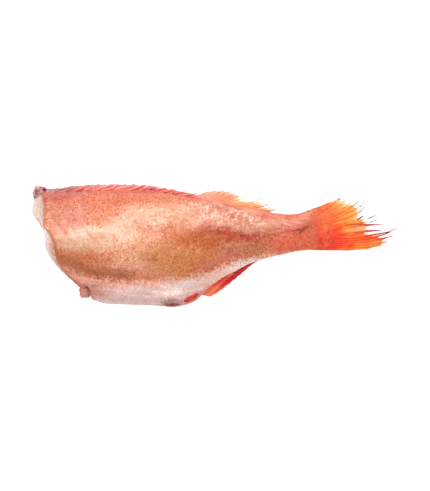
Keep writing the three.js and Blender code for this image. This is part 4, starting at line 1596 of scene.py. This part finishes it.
def spiny_colours(bench, field, across, reach, streak):
    uneven = field.texture(120, 3)
    wave = (across * (2 * math.pi) + (uneven - 0.5) * 5).math("COSINE")
    # The pleats' crests are paler: partly the fin's pink skin, partly painted highlight.
    crest = (wave + (streak - 0.5) * 5).smooth(-0.5, 1.3)
    colour = bench.mix(crest, tone(208, 72, 68), tone(242, 164, 152))
    colour = bench.mix(field.x.smooth(-56, -30) * 0.6, colour, tone(214, 70, 62))
    blood = field.texture(300, 3, 0.6, (2.6, 0.8, 1), 0.3).smooth(0.54, 0.64)
    colour = bench.mix(blood * (1 - crest) * 0.8, colour, tone(176, 30, 42))
    colour = bench.mix(blood * field.x.smooth(-66, -44) * 0.8, colour, tone(150, 14, 30))
    colour = bench.mix(field.x.smooth(-88, -104) * 0.8, colour, PALETTE["nape"])
    colour = bench.mix((reach + (uneven - 0.5) * 0.4).smooth(0.74, 1.1) * 0.9, colour, tone(220, 102, 86))
    crest_line = (reach + (streak - 0.5) * 0.5).smooth(0.4, 0.66) * reach.smooth(1.3, 1.0)
    colour = bench.mix(crest_line * field.x.smooth(-72, -96) * 0.5, colour, tone(178, 56, 60))
    colour = bench.mix(crest_line * field.x.smooth(-92, -108) * 0.8, colour, tone(112, 46, 46))
    upper_edge = (reach + (uneven - 0.5) * 0.5).smooth(0.1, 0.5)
    lower_edge = (reach + (uneven - 0.5) * 0.9).smooth(1.8, 1.1)
    ends = (field.x.smooth(-34, -16) + field.x.smooth(-84, -100)) * reach.smooth(0.95, 1.2)
    return from_skin(field, upper_edge * lower_edge * (1 - ends), colour), 1.0


def spine_colours(bench, field, across, reach, streak):
    colour = bench.mix(reach.smooth(0.1, 0.6), tone(216, 88, 80), tone(230, 134, 126))
    colour = bench.mix(field.x.smooth(-60, -30) * 0.6, colour, tone(208, 66, 62))
    colour = bench.mix(reach.smooth(0.9, 1.0) * 0.9, colour, tone(104, 40, 44))
    return bench.mix(field.x.smooth(-94, -106) * 0.8, colour, PALETTE["nape"]), 1.0


spiny_skin, spiny_spines = fin_materials("spiny_fin", spiny_colours, spine_colours, coat=0.4, rods="spines")

# %% Fin skins
COLUMNS_PER_RAY = 8
FIN_ROWS = 40
FILLET = 2.6  # radius of the hollow between the body and the soft fin, in mm
FILLET_SINK = 1.9  # how far the fillet's body side lies under the real surface
TAIL_TORN = [
    0.03, 0.05, 0.06, 0.1, 0.2, 0.24, 0.28, 0.2, 0.12, 0.08, 0.06, 0.06, 0.08, 0.08, 0.06, 0.08, 0.1, 0.08,
]
TAIL_REACHES = [
    1, 1, 1, 1, 0.98, 0.97, 0.96, 0.96, 0.94, 0.86, 0.82, 0.92, 0.88, 0.85, 0.88, 0.94, 0.96, 0.98, 1,
]
SOFT_REACHES = [1, 0.98, 0.92, 0.88, 0.86, 0.84, 0.82, 0.84, 0.96, 1, 1, 1, 1, 1, 1]


def filleted(grid, half):
    """A fin whose upper side rises smoothly out of the body's own surface, without a crease."""
    body = top_height(grid[..., 0], grid[..., 1]) - FILLET_SINK - grid[..., 2]
    inside = step(1.0, -0.6, grid[..., 1] - back_edge(grid[..., 0]))
    body = lerp(-FILLET, np.maximum(body, -FILLET), inside)
    blend = np.maximum(FILLET - np.abs(body - half), 0) / FILLET
    upper = np.maximum(body, half) + blend**2 * FILLET / 4
    lifted = grid.copy()
    lifted[..., 2] += (upper - half) / 2
    return lifted, (upper + half) / 2


def make_fin_skin(name, fin, material, half_at, seed, torn, rough_edge, reaches=1.0, fillet=False):
    """The skin between the rays, to a share of each ray; torn back between each two, and frayed."""
    draw = np.random.default_rng(seed)
    count = len(fin.rays) - 1
    across = np.linspace(0, count, count * COLUMNS_PER_RAY + 1)
    torn = np.broadcast_to(torn, count)[np.minimum(across.astype(int), count - 1)]
    notch = np.sin(np.pi * (across % 1)) ** 0.65
    reaches = np.interp(across, np.arange(count + 1), np.broadcast_to(reaches, count + 1))
    edge = reaches - torn * notch - np.abs(draw.normal(0, rough_edge, len(across)))
    out = np.linspace(0, 1, FIN_ROWS)[:, None] * edge[None]
    across = np.broadcast_to(across[None], out.shape)
    grid = fin.at(across, out)
    grid[..., 2] += 0.1 * ripple(grid[..., 0], grid[..., 1], 6, seed) * np.sin(np.pi * np.clip(out, 0, 1))
    half = half_at(fin.at(across, 0.0), out)
    if fillet:
        grid, half = filleted(grid, half)
    points, groups = closed_sheet(grid, half)
    places = np.concatenate([flat_vectors(across, out)] * 2)
    return make_piece(name, points, groups, [material], {"fin_place": places})


def thinning(first, last):
    """Half the thickness of a fin that is a thin sheet from its root on."""
    return lambda root, out: lerp(first, last, np.clip(out, 0, 1) ** 0.7)


def from_body(last, reach):
    """Half the thickness of a fin whose fleshy base goes on from the body's own flanks."""

    def half(root, out):
        base = body_half(root[..., 0], root[..., 1]) - 1.6
        return last + np.maximum(base - last, 0) * np.clip(1 - out / reach, 0, 1) ** 1.2

    return half


make_fin_skin("tail_fin", tail_fin, tail_skin, thinning(1.3, 0.12), 31, TAIL_TORN, 0.02, TAIL_REACHES)
make_fin_skin("soft_fin", soft_fin, soft_skin, from_body(0.16, 0.7), 32, 0.1, 0.05, SOFT_REACHES, fillet=True)
make_fin_skin("anal_fin", anal_fin, anal_skin, thinning(0.9, 0.35), 33, 0.02, 0.015)

# %% The tree that makes rods from lines


def make_rod_tree():
    """Lines with a radius at each point become round rods with closed ends."""
    bench, given = new_tree("rods_from_lines", {"Sides": "Int", "Material": "Material"})
    lines = bench.node("GeometryNodeMeshToCurve", values={"Mesh": given["Geometry"]}).outputs[0]
    circle = {"Resolution": given["Sides"], "Radius": 1.0}
    profile = bench.node("GeometryNodeCurvePrimitiveCircle", {"mode": "RADIUS"}, circle).outputs[0]
    thick = named(bench, "thick", "FLOAT")
    swept = {"Curve": lines, "Profile Curve": profile, "Scale": thick, "Fill Caps": True}
    rods = bench.node("GeometryNodeCurveToMesh", values=swept).outputs[0]
    return end_tree(bench, rods, given["Material"])


def make_rods(name, lines, material, sides=6):
    """lines is a list of (points, radii, places) for one rod each."""
    points, radii, places = (np.concatenate(parts) for parts in zip(*lines))
    points[:, 2] = np.maximum(points[:, 2], radii + 0.03)
    edges = []
    start = 0
    for line, _, _ in lines:
        edges += [(start + i, start + i + 1) for i in range(len(line) - 1)]
        start += len(line)
    stored = {"thick": radii * MM, "fin_place": places}
    piece = grown(name, points, stored, rod_tree, {"Sides": sides, "Material": material}, edges)
    return finish_piece(piece)


rod_tree = make_rod_tree()
print("rod tree:", len(rod_tree.nodes), "nodes")

# %% Rays with their threads
THREAD_SPREAD = (-0.33, -0.11, 0.11, 0.33)
TURNS_FROM = 0.84  # a turned ray bends between these shares of its length
TURNS_TO = 0.92


def turned_up(points, pivot, angles):
    """Points turned about a pivot in the plane of the table, each by its own angle in degrees."""
    away = points[:, :2] - pivot[:2]
    sine, cosine = np.sin(np.radians(angles)), np.cos(np.radians(angles))
    turned = points.copy()
    turned[:, 0] = pivot[0] + away[:, 0] * cosine - away[:, 1] * sine
    turned[:, 1] = pivot[1] + away[:, 0] * sine + away[:, 1] * cosine
    return turned


def ray_lines(fin, trunk, thread, splits_at, seed, overshoot=0.02, gathered=0.0, heavy=0.0, turned=0.0):
    """A trunk for each ray, thin where it leaves the flesh, which splits into threads.

    The threads of a gathered ray (1) come together again in one point, and the others (0) spread.
    A heavy ray has thicker threads, by that share. The end of a turned ray bends up by those degrees.
    """
    draw = np.random.default_rng(seed)
    count = len(fin.rays)
    opens_at = splits_at - 0.05
    lines = []
    each_ray = zip(*(np.broadcast_to(values, count) for values in (gathered, heavy, turned)))
    for ray, (together, heavier, turn) in enumerate(each_ray):
        out = np.linspace(0, splits_at + 0.2, 9)
        radii = lerp(trunk, thread, step(splits_at - 0.1, splits_at + 0.2, out))
        radii = radii * lerp(0.5, 1, step(0, 0.25, out))
        lines.append((fin.at(np.full_like(out, ray), out), radii, flat_vectors(ray, out)))
        for spread in THREAD_SPREAD:
            spread += draw.uniform(-0.12, 0.12)
            end = 1 + draw.uniform(-0.1, overshoot) * (1 - 0.8 * together)
            out = np.linspace(opens_at, end, 12)
            opening = step(opens_at, 1.0, out)
            meeting = np.sin(np.pi * np.clip((out - opens_at) / (end - opens_at), 0, 1))
            across = np.clip(ray + spread * lerp(opening, 0.28 * meeting, together), 0, count - 1)
            points = fin.at(across, out)
            if turn:
                points = turned_up(points, fin.at(ray, TURNS_FROM), turn * step(TURNS_FROM, TURNS_TO, out))
            points[:, 2] += draw.uniform(-0.1, 0.25) * opening
            lines.append((points, thread * (1 + heavier) * lerp(1, 0.6, opening), flat_vectors(across, out)))
    return lines


TAIL_GATHERED = [0, 0.2, 0.4, 0.7, 1, 1, 1, 1, 1, 0.9, 0.8, 0.8, 1, 1, 1, 0.9, 0.5, 0.3, 0]
TAIL_HEAVY = [0, 0, 0, 0.2, 0.8, 1.2, 1.3, 1.2, 0.9, 0, 0, 0.2, 0.2, 0.2, 0.2, 0, 0, 0, 0]
TAIL_TURNED = [0, 0, 0, 0, 0, 12, 0, 0, 0, 12, 16, 20, 26, 24, 20, 12, 6, 0, 0]
SOFT_GATHERED = [1, 1, 0.5, 0.5, 0.9, 0.9, 0.9, 0.9, 0.3, 0, 0, 0, 0, 0, 0]
tail_lines = ray_lines(tail_fin, 0.5, 0.24, 0.42, 41, -0.02, TAIL_GATHERED, TAIL_HEAVY, TAIL_TURNED)
soft_lines = ray_lines(soft_fin, 0.3, 0.16, 0.55, 42, gathered=SOFT_GATHERED)
anal_lines = ray_lines(anal_fin, 0.55, 0.4, 0.6, 43, overshoot=0.0)
make_rods("tail_fin_rays", tail_lines, tail_rays)
make_rods("soft_fin_rays", soft_lines, soft_rays)
make_rods("anal_fin_rays", anal_lines, anal_rays)

# %% [markdown]
# ## The folded spiny fin
#
# The first fin of the back is held by hard spines. It lies folded over the edge of the back, each
# spine over the root of the next one, and its pink skin is creased between them in slanting folds.
# The skin is one closed shape laid over the back: its edges run under the scales, its crest stands
# up, and slanting pleats are moved into it. The spines are rods from the same tree, and they lie on
# the crests of the pleats with their dark points free.

# %% Folded skin
SPINE_COUNT = 13
SPINE_FIRST_X = -110.0
SPINE_LAST_X = -18.0
SPINE_STEP = (SPINE_LAST_X - SPINE_FIRST_X) / (SPINE_COUNT - 1)
FOLD_FROM = -118.0
FOLD_TO = -9.0
FOLD_ALONG = 420  # points along the back
FOLD_ACROSS = 40
FOLD_SUNK = -0.9  # height of the skin's ends, under the scales
FOLD_INNER = -1.2  # height of its hidden side
FOLD_LEAN = 3.0  # how far a pleat runs along the back while it climbs one millimetre
FOLD_PROFILE = [  # place over the back's edge in mm, from the upper flank to the lower one, and height
    (-3.4, -0.9), (-2.9, 0.0), (-2.3, 0.35), (-1.6, 0.7), (-1.0, 1.1), (-0.5, 1.55), (-0.15, 1.95),
    (0.0, 2.1), (0.15, 1.95), (0.5, 1.5), (1.2, 1.0), (2.2, 0.4), (3.0, -0.9),
]


def fold_point(x, over, height):
    """A point over the back: over is the depth below the edge, negative on the upper flank."""
    depth = back_edge(x) - belly_edge(x)
    angle = np.pi + np.sign(over) * np.arccos(np.clip(1 - 2 * np.abs(over) / depth, -1, 1))
    return body_point(x, angle) + outward(x, angle) * height[..., None]


def pleat(x, over):
    """The phase of the slanting pleats: whole numbers are their crests."""
    at, height = np.array(FOLD_PROFILE).T
    rise = np.minimum(0, over) + 0.8 * np.interp(over, at, height)
    uneven = 2.2 * ripple(x, over * 2, 15, 54)
    return (x - FOLD_LEAN * rise + uneven - SPINE_FIRST_X) / SPINE_STEP


def fold_waves(x, over, phase):
    """The pleats' relief in mm, weaker on the lower side of the back."""
    strong = 1 + 0.5 * ripple(x, over * 0, 17, 53)
    wave = strong * (np.cos(2 * np.pi * phase) * 0.28 + 0.12 * np.cos(4 * np.pi * phase + 0.6))
    wave = wave + 0.14 * ripple(x * 0.6, over * 3, 5, 51)
    return wave * lerp(1, 0.4, step(0.1, 1.2, over))


def make_folded_skin():
    x = np.linspace(FOLD_FROM, FOLD_TO, FOLD_ALONG)
    over, height = np.array(FOLD_PROFILE).T
    fine = np.linspace(0, len(over) - 1, FOLD_ACROSS)
    over, height = (np.interp(fine, np.arange(len(line)), line) for line in (over, height))
    grid_x, grid_over = np.meshgrid(x, over, indexing="ij")
    phase = pleat(grid_x, grid_over)
    ends = np.sin(np.pi * np.linspace(0.002, 0.998, len(x))) ** 0.4
    rear = lerp(1, 0.62, step(-60, -15, x)) * lerp(0.55, 1, step(-116, -92, x))
    lifted = height[None] + fold_waves(grid_x, grid_over, phase) * (height[None] > -0.2)
    lifted = lerp(FOLD_SUNK, lifted, (ends * rear)[:, None])
    outer = fold_point(grid_x, grid_over, lifted)
    inner = fold_point(grid_x, grid_over, np.full_like(grid_x, FOLD_INNER))
    points, groups = closed_tube(np.concatenate([outer, inner[:, ::-1]], axis=1), first_corner=1)
    both = np.concatenate([phase, phase[:, ::-1]], axis=1)
    climb = np.clip((grid_over - over[0]) / -over[0], 0, 2)
    climb = np.concatenate([climb, climb[:, ::-1]], axis=1)
    places = np.concatenate([flat_vectors(both, climb), np.zeros((2, 3))])
    stored = {"fin_place": places}
    return make_piece("spiny_fin_skin", points, groups, [spiny_skin], stored)


make_folded_skin()

# %% Spines
SPINE_PATH = [(0.0, -2.6, 0.0), (0.3, -1.8, 0.6), (0.6, -0.9, 1.2), (0.85, -0.2, 1.85), (1.0, 0.0, 2.4)]
SPINE_LENGTHS = (13.5, 9.0)  # in front and at the rear, in mm
SPINE_RADII = (0.42, 0.12)  # at the root and at the point


def make_spines():
    draw = np.random.default_rng(44)
    lines = []
    share = np.linspace(0, 1, 14)
    at, over, height = np.array(SPINE_PATH).T
    for k in range(SPINE_COUNT):
        x = SPINE_FIRST_X + k * SPINE_STEP
        length = lerp(*SPINE_LENGTHS, k / SPINE_COUNT) * draw.uniform(0.92, 1.08)
        flat = lerp(1.0, 0.7, step(-60, -15, x)) * lerp(0.5, 1, step(-116, -92, x))
        side = np.interp(share, at, over)
        points = fold_point(x - 3 + length * share, side, np.interp(share, at, height) * flat + 0.15)
        lines.append((points, lerp(*SPINE_RADII, share**1.6), flat_vectors(k, share)))
    return make_rods("spiny_fin_spines", lines, spiny_spines, sides=8)


make_spines()

# %% [markdown]
# ## Small soft parts
#
# What is left is small: the torn and bloody neck at the top of the cut, the vent at the rear of the
# belly with bits of torn flesh behind it, the stub of a pelvic fin that was trimmed, and the end of the
# backbone in the cut. The first ones start as balls that are pushed out of shape with noise, and the
# backbone as drums with a wavy edge, because nothing here is regular.

# %% Materials of the small parts


def make_lump_material(name, light, dark, vein, scale, hollow=None):
    """Two tones with veins; hollow is a place that a dark crescent, partly painted shadow, bends round."""
    material, bench = new_material(name)
    field = Field(bench, 0.6)
    blotch = field.texture(scale, 4)
    fine = field.texture(scale * 3.2, 3)
    colour = bench.mix(blotch.smooth(0.38, 0.62), light, dark)
    colour = bench.mix(fine.smooth(0.56, 0.7) * 0.6, colour, vein)
    if hollow is not None:
        x, y = hollow
        # The dark crescent: partly the stub's dark membrane, partly painted contact shadow at the belly.
        crescent = field.patch(x, y, 3.0, 2.6) * (1 - field.patch(x - 2.4, y - 2.2, 4.2, 3.8))
        colour = bench.mix(crescent, colour, tone(92, 50, 44))
    surface_shader(bench, {
        "Base Color": colour, "Roughness": 0.34 + fine * 0.2, "Specular IOR Level": 0.3,
        "Coat Weight": 0.1, "Coat Roughness": 0.12,
        "Subsurface Weight": 0.1, "Subsurface Radius": (1.0, 0.4, 0.3), "Subsurface Scale": 0.002,
        "Normal": bumps(bench, fine, 0.3),
    })
    return material


neck_material = make_lump_material(
    "bloody_neck", light=tone(214, 172, 168), dark=tone(146, 66, 68), vein=tone(112, 18, 32), scale=300,
)
vent_material = make_lump_material(
    "vent", light=tone(168, 96, 84), dark=tone(116, 46, 48), vein=tone(80, 22, 32), scale=380,
)
stub_material = make_lump_material(
    "pelvic_stub", light=tone(200, 140, 120), dark=tone(172, 104, 84), vein=tone(120, 56, 44), scale=360,
    hollow=(-90.2, -30.6),
)
torn_material = make_lump_material(
    "torn_flesh", light=tone(224, 62, 52), dark=tone(178, 16, 22), vein=tone(248, 136, 118), scale=420,
)
print("materials so far:", len(bpy.data.materials))

# %% Lumps


def make_lumps(name, balls, material, unevenness, detail=4, shape=np.copy):
    """Balls (centre and half sizes) pushed out of shape; shape(points) may change the unit ball first."""
    ball = bmesh.new()
    bmesh.ops.create_icosphere(ball, subdivisions=detail, radius=1)
    unit_ball = np.array([vertex.co for vertex in ball.verts])
    triangles = np.array([[vertex.index for vertex in face.verts] for face in ball.faces])
    ball.free()
    points, groups = [], []
    for number, (centre, size) in enumerate(balls):
        offset = Vector((number * 3.7, 0, 0))
        rough = np.array([noise.fractal(Vector(p * 1.7) + offset, 0.8, 2.0, 4) for p in unit_ball])
        pushed = shape(unit_ball) * (1 + unevenness * rough)[:, None]
        points.append(pushed * np.array(size) + np.array(centre))
        groups.append(triangles + number * len(unit_ball))
    return make_piece(name, np.concatenate(points), groups, [material])


def on_top(x, y, lift=0.0):
    """A place on the upper surface."""
    return (x, y, float(top_height(x, y)) + lift)


def squared(points):
    """A ball with a flat end along -Y, for a trimmed fin, with the ends of its rays."""
    shaped = points.copy()
    shaped[:, 1] = np.clip(points[:, 1] * 1.15, -1, 1.1)
    shaped[:, 0] = np.sign(points[:, 0]) * np.abs(points[:, 0]) ** 0.9
    shaped[:, 1] += 0.08 * np.cos(points[:, 0] * 16) * step(0.5, 0.9, -points[:, 1])
    return shaped


neck_bits = [
    ((-124.8, 39.2, 17.0), (3.4, 2.9, 6.4)), ((-127.2, 37.0, 14.5), (2.4, 2.4, 4.8)),
    ((-123.0, 37.0, 23.0), (2.2, 2.2, 3.4)), ((-126.2, 41.4, 13.5), (2.2, 1.5, 3.4)),
    ((-121.6, 40.4, 21.0), (1.8, 1.1, 2.4)), ((-128.0, 34.8, 13.0), (1.4, 1.6, 3.0)),
]
torn_bits = [
    (on_top(-18.0, -38.0, -0.3), (2.6, 1.3, 1.2)), (on_top(-15.2, -36.4, -0.2), (2.0, 1.2, 1.0)),
    (on_top(-20.4, -39.4, -0.2), (1.8, 1.0, 1.0)), (on_top(-16.8, -37.6, 0.1), (1.6, 0.9, 1.0)),
    (on_top(-13.4, -35.0, -0.2), (1.4, 0.8, 0.8)),
]
vent_bits = [
    (on_top(-31.0, -41.8, -1.5), (4.0, 1.9, 2.2)), (on_top(-27.6, -42.0, -1.2), (2.2, 1.2, 1.5)),
    (on_top(-34.4, -42.0, -1.3), (1.8, 1.0, 1.5)), ((-31, -41.2, 7.0), (5.0, 2.4, 3.4)),
]
stub = [((-92.6, -32.4, 13.0), (4.0, 4.8, 6.4))]
make_lumps("neck_end", neck_bits, neck_material, unevenness=0.34)
make_lumps("torn_flesh", torn_bits, torn_material, unevenness=0.4)
make_lumps("vent", vent_bits, vent_material, unevenness=0.3)
make_lumps("pelvic_stub", stub, stub_material, unevenness=0.12, detail=5, shape=squared)

# %% Backbone in the cut
BONE_Y = 15.0
BONE_RADIUS = 4.3
CANAL_Y = 21.0
CANAL_RADIUS = 1.7
BONE_AROUND = 40
BONE_HEIGHT_X = -124.4  # where the body's middle plane gives the height of both drums
BONE_PROFILE = [  # share of the radius, and how far in front of the flesh
    (0.9, -8), (0.97, -4), (1, -0.5), (0.96, 0.3), (0.86, 0.6), (0.66, 0.45), (0.42, 0.1), (0.22, -0.2),
    (0.05, -0.3),
]


def make_bone_material():
    """A pale ring with a dark red core, by the share of its radius."""
    material, bench = new_material("backbone")
    field = Field(bench, 0.4)
    grain = field.texture(700, 3)
    share = bench.stored("from_core") + (grain - 0.5) * 0.3
    colour = bench.mix(share.smooth(0.16, 0.5), tone(120, 34, 30), tone(222, 186, 162))
    colour = bench.mix(share.smooth(0.5, 0.75), colour, tone(236, 216, 194))
    colour = bench.mix(share.smooth(0.85, 1.0), colour, tone(196, 128, 108))
    colour = bench.mix(grain.smooth(0.56, 0.7) * 0.5, colour, tone(206, 146, 124))
    surface_shader(bench, {
        "Base Color": colour, "Roughness": 0.3 + grain * 0.2, "Specular IOR Level": 0.3,
        "Coat Weight": 0.25, "Coat Roughness": 0.12, "Normal": bumps(bench, grain, 0.2),
    })
    return material


def drum(middle_y, radius):
    """Points and face groups of one drum, with the share of its radius at each point."""
    middle_z = float(body_middle(BONE_HEIGHT_X, middle_y))
    around = np.arange(BONE_AROUND) * 2 * np.pi / BONE_AROUND
    wobble = 1 + 0.04 * np.cos(around * 5) + 0.03 * np.sin(around * 9)
    rings = []
    for share, forward in BONE_PROFILE:
        y = middle_y + radius * share * np.cos(around) * wobble
        z = middle_z + radius * share * np.sin(around) * wobble
        x = cut_x(y, z) - flesh_out(y) - forward * radius / BONE_RADIUS
        rings.append(np.stack([x, y, z], axis=-1))
    points, groups = closed_tube(np.stack(rings), first_corner=1)
    shares = [share for share, _ in BONE_PROFILE]
    return points, groups, [*np.repeat(shares, BONE_AROUND), shares[0], 0.0]


def make_backbone():
    """A vertebra with its dark core, and the small canal of the spinal cord above it."""
    bone, bone_groups, bone_shares = drum(BONE_Y, BONE_RADIUS)
    canal, canal_groups, canal_shares = drum(CANAL_Y, CANAL_RADIUS)
    groups = [*bone_groups, *(group + len(bone) for group in canal_groups)]
    stored = {"from_core": [*bone_shares, *canal_shares]}
    points = np.concatenate([bone, canal])
    return make_piece("backbone", points, groups, [make_bone_material()], stored)


make_backbone()

# %% [markdown]
# ## Floor
#
# The floor is a plain white light table, just under the fish. It glows a little, so that the shadow
# under the fish stays faint, and it is no part of the fish.

# %% Floor
FLOOR_HALF = 2.5  # half its width, in metres
FLOOR_HEIGHT = -0.0003  # in metres
TABLE_GLOW = 0.55


def make_floor():
    material, bench = new_material("white_table")
    coordinates = bench.node("ShaderNodeTexCoord").outputs["Object"]
    cloud = bench.wire("ShaderNodeTexNoise", values={"Vector": coordinates, "Scale": 3.0})
    surface_shader(bench, {
        "Base Color": bench.mix(cloud * 0.05, (0.94, 0.94, 0.94, 1), (0.9, 0.9, 0.9, 1)), "Roughness": 0.9,
        "Emission Color": (1, 1, 1, 1), "Emission Strength": TABLE_GLOW,
    })
    corners = [(-1, -1), (1, -1), (1, 1), (-1, 1)]
    mesh = bpy.data.meshes.new("floor")
    mesh.from_pydata([(x * FLOOR_HALF, y * FLOOR_HALF, FLOOR_HEIGHT) for x, y in corners], [], [(0, 1, 2, 3)])
    mesh.materials.append(material)
    floor = placed("floor", mesh)
    return floor


print("floor:", [round(side, 1) for side in make_floor().dimensions], "metres")

# %% Tidy up and finish
bpy.data.objects.remove(scale_form)
